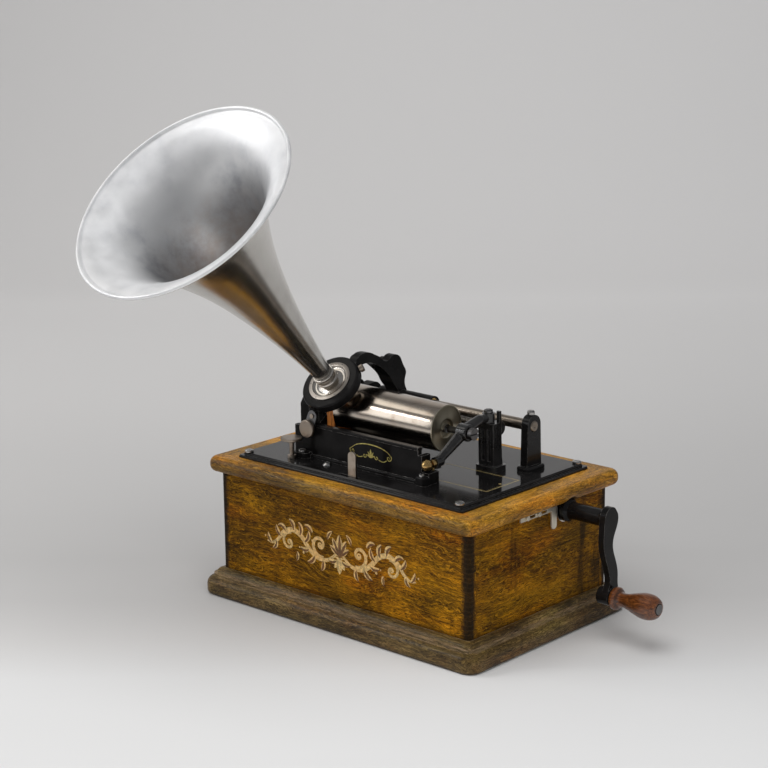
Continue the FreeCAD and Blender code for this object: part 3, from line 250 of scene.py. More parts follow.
# ----------------------------------------------------------------------------
# wood
# ----------------------------------------------------------------------------
# four grain tones from dark to light, then the ray flecks, then the pores
OAK = [(0.026, 0.0112, 0.0004), (0.115, 0.049, 0.0009), (0.300, 0.128, 0.0020),
       (0.62, 0.270, 0.0060), (0.70, 0.335, 0.014), (0.009, 0.0048, 0.0009)]
OAK_BASE = [(0.014, 0.0088, 0.0030), (0.056, 0.034, 0.0105), (0.136, 0.084, 0.026),
            (0.32, 0.21, 0.075), (0.36, 0.235, 0.085), (0.006, 0.0040, 0.0019)]
OAK_TOP = [(0.046, 0.021, 0.0025), (0.210, 0.096, 0.0090), (0.48, 0.215, 0.016),
           (0.82, 0.375, 0.032), (0.90, 0.49, 0.10), (0.010, 0.0062, 0.0020)]
SOFTWOOD = [(0.20, 0.12, 0.055), (0.30, 0.19, 0.09), (0.40, 0.27, 0.14),
            (0.48, 0.34, 0.19), (0.5, 0.36, 0.2), (0.08, 0.045, 0.02)]


def grain_axes(mat, grain, x, y, z, mitre):
    """Coordinates along the grain and the two across it."""
    if grain == "x":
        return x, z, y
    if grain == "y":
        return y, z, x
    if grain == "z":
        return z, x, y
    # a mitred frame: the grain follows each side and changes at the diagonals
    past_x = abs(x + (-CASE_X)) - mitre[0]
    past_y = abs(y - CASE_Y) - mitre[1]
    on_side = (past_x - past_y).remap(-0.2, 0.2)
    # shifted so the two directions sample different wood
    along = mat.mix_value(on_side, x, y + 700.0)
    return along, z, mat.mix_value(on_side, y, x + 300.0)


def darken_corners(mat, colour, x, y, z):
    """Dark, faintly ticked bands at the upright corners, painted shade along the top edge under
    the top moulding, and a darker bottom edge.
    """
    from_side = 148.8 - abs(x + (-CASE_X))
    from_front = 96.4 - abs(y - CASE_Y)
    inward = from_side.max(from_front)
    wobble = mat.point.noise((0.3, 0.3, 0.10), detail=3)
    band = (inward + (wobble - 0.5) * 6.0).step(4.2, 10.5, 1, 0)
    # ticks repeat up the corner every 4.2 mm
    tick = mat.math("PINGPONG", (z + wobble * 2.2) + 0.9, 2.1).remap(1.0, 2.1)
    dark = mat.mix((tick * wobble) * 0.26, (0.006, 0.0045, 0.0030), (0.10, 0.065, 0.030))
    colour = colour.mix(band * 0.93, dark)
    # painted shade under the top moulding, and darker above the base moulding, by distance from
    # the middle height of the board
    ends = abs(z - 71.6).step(42.5, 48.0)
    return colour.mix(ends * 0.60, (0.012, 0.008, 0.0035))


def wood(name, grain, tones, ray, pores, rough, coat, smudge=0.0, spec=0.25, mitre=None,
         worn_edge_highlight_tint=None, worn_edge_highlight_strength=0.0, corners=False, fade=False, front=False):
    """Quarter-sawn board. grain is 'x', 'y', 'z' or 'frame'. ray, pores, smudge and
    worn_edge_highlight_strength are strengths, mitre the half sizes where a frame's sides meet."""
    *grain_tones, ray_tone, pore_tone = tones
    mat = Finish(name, coat=coat, coat_rough=0.22)
    x, y, z = mat.split(mat.point)
    along, across, depth = grain_axes(mat, grain, x, y, z, mitre)
    board = mat.vector(along, across, depth)
    # slow drift of the grain lines, waves and a finer ripple, in mm
    drift = board.noise((0.010, 0.030, 0.030), detail=2, rough=0.5)
    wave = board.noise((0.075, 0.11, 0.11), detail=2, rough=0.5)
    ripple = board.noise((0.24, 0.20, 0.20), detail=1, rough=0.5)
    shift = drift * 26.0 + (wave * 5.5 + ripple * 1.3)
    bent = mat.vector(along, across + shift, depth + shift * 0.6)
    # growth lines, fine lines and broad blotches pick the tone
    lines = bent.noise((0.022, 0.50, 0.50), rough=0.66)
    fine = bent.noise((0.12, 1.7, 1.7), detail=3, rough=0.62)
    blotch = board.noise((0.020, 0.034, 0.034), detail=3, rough=0.55)
    tone = lines * 0.42 + (fine * 0.42 + blotch * 0.30)
    colour = tone.remap(0.42, 0.74).ramp(list(zip((0.0, 0.33, 0.64, 1.0), grain_tones)))
    # hue drifts between orange and olive along the board
    hue = board.noise((0.013, 0.040, 0.040), detail=3, rough=0.55)
    colour = colour.mix(hue.step(0.50, 0.68, 0, 0.55), colour.times((1.25, 0.86, 0.60)))
    colour = colour.mix(hue.step(0.50, 0.34, 0, 0.55), colour.times((0.84, 0.98, 0.70)))
    # ray flecks, short and oblique to the grain
    oblique = mat.vector(along + across * 1.6, across + shift * 1.8, depth)
    flecks = oblique.noise((0.11, 0.60, 0.60), detail=3, rough=0.58, distortion=0.6)
    colour = colour.mix(flecks.step(0.55, 0.65) * ray, ray_tone)
    # pores: short dark dashes along the grain, in two sizes
    long_pores = bent.noise((0.20, 1.9, 1.9), detail=2, rough=0.5)
    short_pores = bent.noise((0.42, 3.8, 3.8), detail=2, rough=0.5)
    long_pores = long_pores.step(0.55, 0.64)
    pore = long_pores.max(short_pores.step(0.57, 0.67) * 0.8)
    colour = colour.mix(pore * pores, pore_tone)
    # old wax in the hollows and hand-worn patches
    grime = board.noise((0.022, 0.05, 0.05)).step(0.5, 0.78)
    colour = colour.mix(grime * (0.30 + smudge * 0.5), pore_tone)
    if smudge > 0.0:
        smear = board.noise((0.055, 0.009, 0.009))
        colour = colour.mix(smear.step(0.52, 0.70) * smudge, pore_tone)
    if front:
        # painted shade: a darker, cooler front lip on the top moulding
        colour = colour.mix(y.step(-100.5, -103.5), colour.times((0.50, 0.55, 0.72)))
    if fade:
        # paler towards +X
        colour = colour.times(x.remap(-150.0, 150.0).ramp(
            [(0.0, (0.96, 0.92, 0.70)), (0.45, (0.85, 0.84, 0.84)), (1.0, (1.42, 1.36, 1.5))]))
    if corners:
        colour = darken_corners(mat, colour, x, y, z)
    soft_normal = mat.bevel(0.0006)
    if worn_edge_highlight_tint is not None:
        # worn edges with a painted highlight: a lighter tint along the mouldings' rounded edges,
        # broken by noise
        edge = mat.edge(radius=0.0042, low=0.015, high=0.30)
        breaks = bent.noise((0.07, 0.7, 0.7), rough=0.68).remap(0.38, 0.60)
        colour = colour.mix((edge * breaks) * worn_edge_highlight_strength, worn_edge_highlight_tint)
    mat.set("Base Color", colour)
    mat.set("Specular IOR Level", spec)
    # rougher on the fine lines and in the pores
    mat.set("Roughness", ((fine * 0.22 + (rough - 0.10)) + pore * 0.18).clamped())
    mat.bump(lines * 0.25 - pore, strength=0.35, distance=0.00012, normal=soft_normal)


# the flat boards of the case share one dull wax
waxed = dict(tones=OAK, rough=0.52, coat=0.02, spec=0.08, corners=True)
wood("oak_front", "x", ray=0.40, pores=0.78, smudge=0.12, fade=True, **waxed)
wood("oak_side", "y", ray=0.34, pores=0.80, smudge=0.75, **waxed)
# the mouldings' edge tints are worn edges partly painted as highlights; the top's front lip is
# painted shade
wood("oak_base", "frame", OAK_BASE, ray=0.30, pores=0.80, rough=0.40, coat=0.10, smudge=0.15,
     spec=0.2, mitre=(155.0, 102.0), worn_edge_highlight_tint=(0.52, 0.36, 0.22), worn_edge_highlight_strength=0.65)
wood("oak_top", "frame", OAK_TOP, ray=0.34, pores=0.74, rough=0.38, coat=0.10, smudge=0.14,
     spec=0.2, mitre=(150.0, 97.0), worn_edge_highlight_tint=(0.66, 0.42, 0.27), worn_edge_highlight_strength=0.75, front=True)
for name, grain in (("softwood_case", "x"), ("softwood_blocks", "z")):
    wood(name, grain, SOFTWOOD, ray=0.1, pores=0.2, rough=0.7, coat=0.0)


# ----------------------------------------------------------------------------
# enamel and metal
# ----------------------------------------------------------------------------
def enamel(name, worn, rough, film, spec, base=(0.0050, 0.0046, 0.0046), dust=0.2):
    """Black enamel, rubbed to metal on its corners. film scales the clear coat."""
    coat = 0.9 * film
    mat = Finish(name, coat=coat, coat_rough=0.06)
    mat.set("Specular IOR Level", spec)
    cloud = mat.point.noise(0.035)
    grain = mat.point.noise(1.4, detail=3)
    mottle = mat.point.noise(0.33, rough=0.65)
    specks = mat.point.cells((0.33, 0.33, 0.33)).remap(0.035, 0.02)
    lifted = tuple(channel * 2.4 + 0.002 for channel in base)
    colour = mat.mix(cloud.remap(0.4, 0.75), base, lifted)
    colour = colour.mix(specks * (0.30 * dust), (0.45, 0.43, 0.40))
    roughness = cloud.remap(0.3, 0.8, rough * 0.8, rough * 1.35)
    roughness = roughness + mottle.remap(0.55, 0.75, 0.0, 0.10 * dust)
    # bare metal along broken stretches of the edges
    edge = mat.edge(radius=0.0009, low=0.04, high=0.30)
    bare = ((edge * mottle.remap(0.40, 0.58)) * worn).clamped()
    mat.set("Base Color", colour.mix(bare, (0.46, 0.44, 0.42)))
    mat.set("Metallic", bare * 0.85)
    mat.set("Roughness", mat.mix_value(bare, roughness, 0.34))
    mat.set("Coat Weight", mat.mix_value(bare, coat, 0.1))
    mat.bump(mottle * 1.0 + grain * 0.22, strength=0.10, distance=0.0003,
             normal=mat.bevel(0.0005))
    mat.set("Coat Normal", mat.bevel(0.0005))


def metal(name, base, rough, stain, stained=0.5, brush=(7.0, 0.5, 0.5)):
    """Plated or bare metal with tarnish, fine scratches and pits."""
    mat = Finish(name)
    brushed = mat.point.noise(brush)
    cloud = mat.point.noise(0.06, detail=5)
    mottle = mat.point.noise(0.45, detail=5, rough=0.65)
    pits = mat.point.cells(0.85).remap(0.09, 0.03)
    tarnish = (cloud.step(0.46, 0.74) + mottle.step(0.58, 0.76, 0, 0.55)).clamped()
    colour = mat.mix(tarnish * stained, base, stain)
    mat.set("Base Color", colour.mix(pits * 0.24, darker(stain, 0.25)))
    mat.set("Metallic", 1.0)
    mat.set("Roughness", (brushed * 0.16 + (tarnish * 0.12 + (rough - 0.10))).clamped())
    mat.bump(brushed * 0.5 - pits * 0.4, strength=0.10, distance=0.0001,
             normal=mat.bevel(0.0003))


def turned_metal(name, base, rough, stain, stained, aniso=0.0, rings=0.5, smear=0.3):
    """Spun or turned metal: fine rings round the axis, tarnish and wipe marks."""
    mat = Finish(name, aniso=aniso)
    lath = mat.lath()
    brushed = lath.noise((1.5, 1.5, 7.0))
    ring = lath.noise((0.25, 0.25, 1.1), detail=3)
    cloud = mat.point.noise(0.028, detail=5)
    mottle = mat.point.noise(0.22, detail=5, rough=0.65)
    pits = mat.point.cells(0.6).remap(0.06, 0.02)
    tarnish = (cloud.step(0.44, 0.72, 0, 0.8) + mottle.step(0.56, 0.76, 0, 0.5)).clamped()
    colour = mat.mix(tarnish * stained, base, stain)
    mat.set("Base Color", colour.mix(pits * 0.2, darker(stain, 0.3)))
    mat.set("Metallic", 1.0)
    wiped = mottle * (smear * 0.4) + (rough - 0.06 - smear * 0.2)
    mat.set("Roughness", (brushed * 0.12 + wiped).clamped().max(0.05))
    mat.bump(brushed * 0.35 + ring * rings, strength=0.12, distance=0.00015)
    if aniso:
        mat.tangent_round_axis()


enamel("enamel_bedplate", worn=0.35, rough=0.13, film=0.36, spec=0.12, dust=0.8)
enamel("enamel_casting", worn=0.95, rough=0.18, film=0.10, spec=0.03, dust=0.30)
# the arm's black is a touch lighter, a painted sheen standing in for its grey reflection
enamel("enamel_arm", worn=0.40, rough=0.28, film=0.70, spec=0.35, base=(0.0085, 0.0080, 0.0080))
enamel("enamel_carriage", worn=0.30, rough=0.30, film=0.12, spec=0.04,
       base=(0.0060, 0.0056, 0.0056))
enamel("enamel_crank", worn=0.35, rough=0.18, film=0.22, spec=0.08)
enamel("enamel_post", worn=0.30, rough=0.26, film=0.26, spec=0.15, dust=0.3)

metal("nickel_plain", (0.62, 0.575, 0.52), rough=0.24, stain=(0.22, 0.17, 0.12), stained=0.45)
metal("nickel_worn", (0.42, 0.36, 0.30), rough=0.36, stain=(0.16, 0.11, 0.075), stained=0.6)
metal("steel_bright", (0.46, 0.45, 0.44), rough=0.26, stain=(0.14, 0.11, 0.09))
metal("steel_blued", (0.17, 0.165, 0.165), rough=0.34, stain=(0.06, 0.05, 0.045),
      brush=(0.5, 0.5, 5.0))
metal("steel_blade", (0.20, 0.20, 0.205), rough=0.40, stain=(0.08, 0.07, 0.065),
      brush=(0.4, 0.4, 6.0))
metal("nickel_pale", (0.80, 0.74, 0.62), rough=0.46, stain=(0.50, 0.42, 0.30), stained=0.20)
metal("brass", (0.72, 0.49, 0.20), rough=0.22, stain=(0.24, 0.13, 0.05))
metal("bronze", (0.55, 0.36, 0.19), rough=0.30, stain=(0.20, 0.11, 0.05))

turned_metal("nickel_mandrel", (0.56, 0.495, 0.425), rough=0.17, stain=(0.27, 0.185, 0.12),
             stained=0.50, aniso=0.35, rings=0.7, smear=0.25)
turned_metal("nickel_mandrel_end", (0.60, 0.54, 0.41), rough=0.34, stain=(0.34, 0.28, 0.18),
             stained=0.35)
turned_metal("horn_outside", (0.74, 0.72, 0.68), rough=0.22, stain=(0.26, 0.22, 0.18),
             stained=0.35, aniso=0.45, rings=0.9, smear=0.25)
turned_metal("nickel_turned", (0.64, 0.60, 0.55), rough=0.20, stain=(0.22, 0.17, 0.12),
             stained=0.4, aniso=0.2)
turned_metal("nickel_ring_pale", (0.62, 0.56, 0.50), rough=0.46, stain=(0.30, 0.24, 0.19),
             stained=0.35, rings=0.2)
turned_metal("nickel_knob", (0.34, 0.285, 0.235), rough=0.42, stain=(0.15, 0.11, 0.08),
             stained=0.55, rings=0.3)
turned_metal("rod_nickel", (0.34, 0.29, 0.24), rough=0.30, stain=(0.15, 0.11, 0.08),
             stained=0.5)
turned_metal("screw_steel", (0.40, 0.38, 0.35), rough=0.26, stain=(0.14, 0.10, 0.07),
             stained=0.5)
# a spare finish that no piece wears
turned_metal("brass_turned", (0.78, 0.55, 0.24), rough=0.17, stain=(0.26, 0.15, 0.06),
             stained=0.5)


def horn_inside():
    mat = Finish("horn_inside", aniso=0.35)
    lath = mat.lath()
    fine = lath.noise((3.0, 3.0, 5.0), rough=0.62)
    # short cross-hatched scratches on two slanting coordinates
    cos_part, sin_part, length = mat.split(lath)
    slant = length * 0.5 + cos_part * 30.0
    counter = length * 0.5 + sin_part * -30.0
    first = mat.vector(slant * 0.10, counter * 2.2, 0.0).noise(1.0, detail=3, rough=0.7)
    second = mat.vector(slant * 2.0, counter * 0.10, 5.0).noise(1.0, detail=3, rough=0.7)
    scratches = first.remap(0.62, 0.72).max(second.remap(0.62, 0.72))
    # grey smudges over the bright metal
    broad = mat.point.noise(0.017)
    mottle = mat.point.noise(0.07, detail=5, rough=0.65)
    smudge = broad.step(0.40, 0.64) * mottle.step(0.34, 0.66, 0.35, 1.0)
    colour = mat.mix(smudge, (0.80, 0.80, 0.80), (0.50, 0.51, 0.54))
    colour = colour.mix(scratches * 0.38, (0.95, 0.95, 0.95))
    # painted highlight: a pale, less metallic lining towards the mouth stands in for its bright
    # reflections; brown stain down the throat
    painted_mouth_highlight = length.step(350.0, 298.0) * mat.point.noise(0.05).remap(0.30, 0.62, 0.72, 1.0)
    colour = colour.mix(painted_mouth_highlight * 0.75, (0.93, 0.93, 0.935))
    throat = length.step(330.0, 400.0, 0, 0.55) * mottle.remap(0.35, 0.65)
    mat.set("Base Color", colour.mix(throat, (0.62, 0.50, 0.42)))
    mat.set("Metallic", 1.0 - painted_mouth_highlight * 0.46)
    mat.set("Roughness", fine * 0.16 + (mottle * 0.14 + 0.24))
    mat.bump(fine * 0.5 + scratches * 0.5, strength=0.16, distance=0.00015)
    mat.tangent_round_axis()


# ----------------------------------------------------------------------------
# leather, rubber, mica, handle and gilding
# ----------------------------------------------------------------------------
def leather():
    mat = Finish("belt_leather", coat=0.15, coat_rough=0.3)
    streaks = mat.point.noise((0.5, 0.12, 0.12), detail=5, rough=0.65)
    creases = mat.point.cells(1.6, "DISTANCE_TO_EDGE")
    mat.set("Base Color", streaks.ramp([(0.3, (0.22, 0.060, 0.008)),
                                        (0.55, (0.62, 0.20, 0.025)),
                                        (0.8, (0.85, 0.36, 0.06))]))
    mat.set("Roughness", 0.5)
    mat.bump(streaks + creases.remap(0.0, 0.12), strength=0.25, distance=0.0002,
             normal=mat.bevel(0.0003))


def rubber():
    mat = Finish("gasket_rubber")
    grain = mat.point.noise(1.2)
    mat.set("Base Color", grain.ramp([(0.3, (0.012, 0.011, 0.010)),
                                      (0.8, (0.035, 0.030, 0.026))]))
    mat.set("Roughness", 0.75)
    mat.bump(grain, strength=0.2, distance=0.0002, normal=mat.bevel(0.0002))


def mica():
    mat = Finish("diaphragm_mica", coat=0.4)
    streaks = mat.point.noise((0.3, 0.9, 0.9), detail=5, rough=0.65)
    mat.set("Base Color", streaks.ramp([(0.3, (0.22, 0.17, 0.11)), (0.8, (0.50, 0.43, 0.32))]))
    mat.set("Roughness", streaks.remap(0.3, 0.7, 0.12, 0.35))
    mat.bump(streaks, strength=0.1, distance=0.0001)


def handle_wood():
    mat = Finish("handle_wood", coat=0.55, coat_rough=0.12)
    x, y, z = mat.split(mat.point)
    drift = mat.vector(x, y, z).noise((0.03, 0.09, 0.09), detail=2, rough=0.5)
    shift = drift * 6.0
    bent = mat.vector(x, y + shift, z + shift)
    lines = bent.noise((0.035, 0.9, 0.9))
    pores = bent.noise((0.22, 3.6, 3.6), detail=2, rough=0.5).step(0.58, 0.66)
    colour = lines.ramp([(0.28, (0.026, 0.0070, 0.0020)), (0.5, (0.115, 0.033, 0.0080)),
                         (0.75, (0.30, 0.100, 0.026))])
    colour = colour.mix(pores * 0.7, (0.010, 0.004, 0.002))
    # painted shade: a dark line in the groove behind the flange
    painted_groove_shade = abs(x - 206.9).step(0.0, 1.6, 1, 0)
    mat.set("Base Color", colour.mix(painted_groove_shade * 0.6, (0.008, 0.004, 0.002)))
    mat.set("Roughness", lines * 0.2 + 0.26)
    mat.bump(lines * 0.3 - pores, strength=0.18, distance=0.00012)


def gilt(name, tone):
    mat = Finish(name, coat=0.15, coat_rough=0.2)
    mottle = mat.point.noise(0.35, detail=5, rough=0.65)
    cloud = mat.point.noise(0.05, detail=3, rough=0.5)
    colour = mat.mix(mottle.step(0.40, 0.62), darker(tone, 0.42), tone)
    reddened = (tone[0] * 0.9, tone[1] * 0.72, tone[2] * 0.55)
    mat.set("Base Color", colour.mix(cloud.remap(0.4, 0.7, 0.0, 0.5), reddened))
    mat.set("Metallic", 0.35)
    mat.set("Roughness", mottle.remap(0.3, 0.7, 0.34, 0.5))
    mat.bump(mottle, strength=0.08, distance=0.0001)


horn_inside()
leather()
rubber()
mica()
handle_wood()
gilt("gilding_scroll", tone=(0.88, 0.60, 0.235))
gilt("gilding_shade", tone=(0.20, 0.085, 0.020))
gilt("gilding_line", tone=(0.62, 0.54, 0.15))
gilt("gilding_pinstripe", tone=(0.42, 0.34, 0.15))

# ----------------------------------------------------------------------------
# CAD pieces that keep their shape and only take a finish
# ----------------------------------------------------------------------------
CAD_FINISHES = {
    "oak_front": "back_board front_board",
    "oak_side": "left_board right_board",
    "oak_base": "base_moulding",
    "oak_top": "top_moulding",
    "softwood_case": "bottom_board",
    "softwood_blocks": "corner_blocks",
    "enamel_bedplate": "bedplate",
    "enamel_casting": "upper_casting gear_guard",
    "enamel_arm": "gate_post gate_arm",
    "enamel_carriage": "carriage_arm",
    "enamel_crank": "crank_arm",
    "enamel_post": "right_rod_post",
    "nickel_plain": "crank_escutcheon floating_weight",
    "nickel_worn": "speed_screw start_stop_bar carriage_screws",
    "nickel_pale": "lid_lock_screws lid_lock",
    "steel_bright": "plate_screws motor_screws gear_studs motor_pillars mandrel_shaft "
                    "motor_pulley winding_arbor winding_shaft ratchet_pawl governor_spindle",
    "steel_blued": "gate_hinge_pin mainspring handle_pin speed_brake_lever centre_screw",
    "steel_blade": "lift_lever",
    "brass": "motor_plates pulley_arbor intermediate_arbor spring_barrel barrel_cover "
             "governor_weights sleeve_bushing feed_nut gate_latch",
    "bronze": "idler_gear",
    "belt_leather": "drive_belt",
    "gasket_rubber": "diaphragm_gaskets",
    "diaphragm_mica": "diaphragm",
}
for finish, pieces in CAD_FINISHES.items():
    for piece in pieces.split():
        # a frame may come without some of the pieces
        if NODES.get(piece) is not None:
            materials = NODES[piece].data.materials
            materials.clear()
            materials.append(FINISHES[finish])


# ----------------------------------------------------------------------------
# mesh builders
# ----------------------------------------------------------------------------
def link_object(name, data):
    ob = bpy.data.objects.new(name, data)
    COLLECTION.objects.link(ob)
    return ob


def place(ob, ride, replaces=None):
    """Parents the piece to the empty of the body that carries it, and hides the CAD piece it
    replaces.
    """
    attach(ob, ride)
    if replaces:
        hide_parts(replaces)


def mesh_object(name, verts, faces, finishes, angle=None, zones=None, uvs=None, lath=None):
    """Object from vertices in mm. angle smooths it up to that many degrees, zones is the
    material index of each face, uvs holds a pair per face corner."""
    mesh = bpy.data.meshes.new(name)
    mesh.from_pydata([Vector(v) * MM for v in verts], [], faces)
    for finish in finishes:
        mesh.materials.append(FINISHES[finish])
    if zones:
        mesh.polygons.foreach_set("material_index", zones)
    if uvs:
        layer = mesh.uv_layers.new(name="uv")
        layer.data.foreach_set("uv", [c for uv in uvs for c in uv])
    if lath:
        attribute = mesh.attributes.new("lath", "FLOAT_VECTOR", "POINT")
        attribute.data.foreach_set("vector", [c for triple in lath for c in triple])
    bm = bmesh.new()
    bm.from_mesh(mesh)
    bmesh.ops.recalc_face_normals(bm, faces=bm.faces)
    bm.to_mesh(mesh)
    bm.free()
    if angle is not None:
        for face in mesh.polygons:
            face.use_smooth = True
        mesh.set_sharp_from_angle(angle=math.radians(angle))
    return link_object(name, mesh)


def axis_frame(axis):
    """The unit axis and two directions square to it."""
    axis = Vector(axis).normalized()
    side = Vector((0, 0, 1)) if abs(axis.z) < 0.9 else Vector((1, 0, 0))
    side = (side - axis * axis.dot(side)).normalized()
    return axis, side, axis.cross(side)


def rounded(profile, radius, count):
    """Rounds each inner corner of an open profile, leaving straight runs alone."""
    out = [profile[0]]
    for before, corner, after in zip(profile, profile[1:], profile[2:]):
        corner = Vector(corner)
        back, ahead = Vector(before) - corner, Vector(after) - corner
        reach = min(radius, back.length * 0.45, ahead.length * 0.45)
        back, ahead = back.normalized(), ahead.normalized()
        if back.dot(ahead) < -0.985:
            out.append(tuple(corner))
            continue
        start, end = corner + back * reach, corner + ahead * reach
        for j in range(count + 1):
            t = j / count
            point = start * (1 - t) ** 2 + corner * (2 * t * (1 - t)) + end * t * t
            out.append((point.x, point.y))
    out.append(profile[-1])
    return out


def spline(points, count):
    """Catmull-Rom through 2-D points, count steps to a span."""
    out = []
    last = len(points) - 1
    for i in range(last):
        p0, p1, p2, p3 = (points[max(i - 1, 0)], points[i], points[i + 1],
                          points[min(i + 2, last)])
        for k in range(count):
            t = k / count
            out.append(tuple(
                0.5 * ((2 * p1[j]) + (-p0[j] + p2[j]) * t
                       + (2 * p0[j] - 5 * p1[j] + 4 * p2[j] - p3[j]) * t * t
                       + (-p0[j] + 3 * p1[j] - 3 * p2[j] + p3[j]) * t ** 3)
                for j in (0, 1)))
    out.append(tuple(points[-1]))
    return out


def lathe(name, profile, origin, axis, finishes, segments, zones=None, angle=38):
    """Turned piece. profile is (radius, distance along the axis) in mm, zones gives the
    material index of each profile span. The UV is (turn, length / 100)."""
    axis, side, up = axis_frame(axis)
    origin = Vector(origin)
    verts, lath, rows, lengths = [], [], [], []
    length = 0.0
    for i, (radius, along) in enumerate(profile):
        if i:
            length += math.hypot(radius - profile[i - 1][0], along - profile[i - 1][1])
        lengths.append(length)
        # a point on the axis is a single vertex
        count = segments if radius else 1
        rows.append(range(len(verts), len(verts) + count))
        for k in range(count):
            turn = 2 * math.pi * k / segments
            verts.append(origin + axis * along + side * (radius * math.cos(turn))
                         + up * (radius * math.sin(turn)))
            lath.append((math.cos(turn) * radius, math.sin(turn) * radius, length))
    faces, uvs = [], []
    for row, after, near, far in zip(rows, rows[1:], lengths, lengths[1:]):
        near, far = near * 0.01, far * 0.01
        for k in range(segments):
            k2 = (k + 1) % segments
            left, right = k / segments, (k + 1) / segments
            if len(row) == 1:
                faces.append((row[0], after[k2], after[k]))
                uvs += [(left, near), (right, far), (left, far)]
            elif len(after) == 1:
                faces.append((row[k], row[k2], after[0]))
                uvs += [(left, near), (right, near), (left, far)]
            else:
                faces.append((row[k], row[k2], after[k2], after[k]))
                uvs += [(left, near), (right, near), (right, far), (left, far)]
    face_zones = [zone for zone in zones or () for _ in range(segments)]
    return mesh_object(name, verts, faces, finishes, angle, face_zones, uvs, lath)


def part_of_node(name, node, keep, finish):
    """A copy of the faces of a CAD node whose centres, in mm, pass keep."""
    mesh = NODES[node].data.copy()
    mesh.name = name
    bm = bmesh.new()
    bm.from_mesh(mesh)
    drop = [f for f in bm.faces if not keep(f.calc_center_median() * 1000.0)]
    bmesh.ops.delete(bm, geom=drop, context="FACES")
    bm.to_mesh(mesh)
    bm.free()
    mesh.materials.clear()
    mesh.materials.append(FINISHES[finish])
    return link_object(name, mesh)


def add_dome(verts, faces, centre, normal, radius, height, segments=16, rings=4):
    axis, side, up = axis_frame(normal)
    base = len(verts)
    for j in range(rings):
        rise = (math.pi / 2) * j / rings
        for k in range(segments):
            turn = 2 * math.pi * k / segments
            verts.append(tuple(centre + side * (radius * math.cos(rise) * math.cos(turn))
                               + up * (radius * math.cos(rise) * math.sin(turn))
                               + axis * (height * math.sin(rise))))
    verts.append(tuple(centre + axis * height))
    for j in range(rings - 1):
        low, high = base + j * segments, base + (j + 1) * segments
        for k in range(segments):
            k2 = (k + 1) % segments
            faces.append((low + k, low + k2, high + k2, high + k))
    top = base + (rings - 1) * segments
    for k in range(segments):
        faces.append((top + k, top + (k + 1) % segments, base + rings * segments))


# ----------------------------------------------------------------------------
# turned pieces. Profiles are (radius, distance along the axis), mm
# ----------------------------------------------------------------------------
def mandrel():
    """Slightly tapered drum with an open left end and a recessed right end."""
    left_radius, taper, left, right, steps = 23.2, 2.0, -61.5, 53.2, 14
    left_end = [(4.02, -57.0), (20.2, -57.0), (20.2, -61.6), (22.8, -62.0)]
    drum = [(left_radius - taper * (i / steps), left + (right - left) * i / steps)
            for i in range(steps + 1)]
    right_end = [(21.13, 53.9), (20.5, 54.4), (19.4, 54.4), (19.0, 54.0), (10.6, 54.0),
                 (10.0, 54.35), (8.6, 54.4), (7.8, 53.8), (7.4, 52.4), (4.02, 52.4)]
    zones = [1] * 3 + [0] * (steps + 2) + [1] * 9
    ob = lathe("mandrel_drum", left_end + drum + right_end, MANDREL, X_AXIS,
               ["nickel_mandrel", "nickel_mandrel_end"], segments=160, zones=zones)
    place(ob, "mandrel_unit", replaces="mandrel")


def back_rod():
    """Rod with a chamfered right end."""
    profile = [(0.0, -89.5), (4.4, -89.5), (5.0, -88.9), (5.0, 100.0), (5.0, 110.2),
               (4.2, 111.0), (1.2, 111.0), (0.8, 110.2), (0.0, 110.0)]
    ob = lathe("carriage_rod", rounded(profile, radius=0.35, count=3), BACK_ROD, X_AXIS,
               ["rod_nickel"], segments=64)
    place(ob, "machine", replaces="back_rod")


def thread(name, start, end, core, crest, pitch, segments):
    """Helical thread along X about the feed screw's axis."""
    _, axis_y, axis_z = FEED_SCREW
    steps = int((end - start) / pitch * segments)
    # (offset along X in pitches, radius)
    section = [(-0.5, core), (-0.22, core), (-0.06, crest), (0.06, crest), (0.22, core)]
    width = len(section)
    verts, faces, lath = [], [], []
    for i in range(steps + 1):
        turn = 2 * math.pi * i / segments
        middle = start + pitch * i / segments
        for offset, radius in section:
            x = min(max(middle + offset * pitch, start), end)
            verts.append((x, axis_y + radius * math.cos(turn), axis_z + radius * math.sin(turn)))
            lath.append((math.cos(turn) * radius, math.sin(turn) * radius, x))
    for i in range(steps):
        for j in range(width - 1):
            a = i * width + j
            faces.append((a, a + 1, a + 1 + width, a + width))
        # joins this turn's last edge to the next turn's first edge
        last = i * width + (width - 1)
        first = (i + segments) * width
        if i + segments < steps:
            faces.append((last, first, first + width, last + width))
    return mesh_object(name, verts, faces, ["screw_steel"], angle=30, lath=lath)


def feed_screw():
    """Gear kept from the CAD piece, a real thread, and plain ends over a core."""
    gear = part_of_node("feed_gear", "feed_screw", lambda c: c.x < -76.0, "bronze")
    place(gear, "feed", replaces="feed_screw")
    running = thread("feed_thread", start=-74.0, end=70.0, core=3.55, crest=4.0, pitch=1.0,
                     segments=32)
    place(running, "feed")
    profile = [(0, -77.0), (4.0, -77.0), (4.0, -73.6), (3.56, -73.4), (3.5, 69.6),
               (4.0, 69.9), (4.0, 83.4), (3.4, 84.0), (0, 84.0)]
    ends = lathe("feed_ends", rounded(profile, radius=0.2, count=2), FEED_SCREW, X_AXIS,
                 ["screw_steel"], segments=48)
    place(ends, "feed")


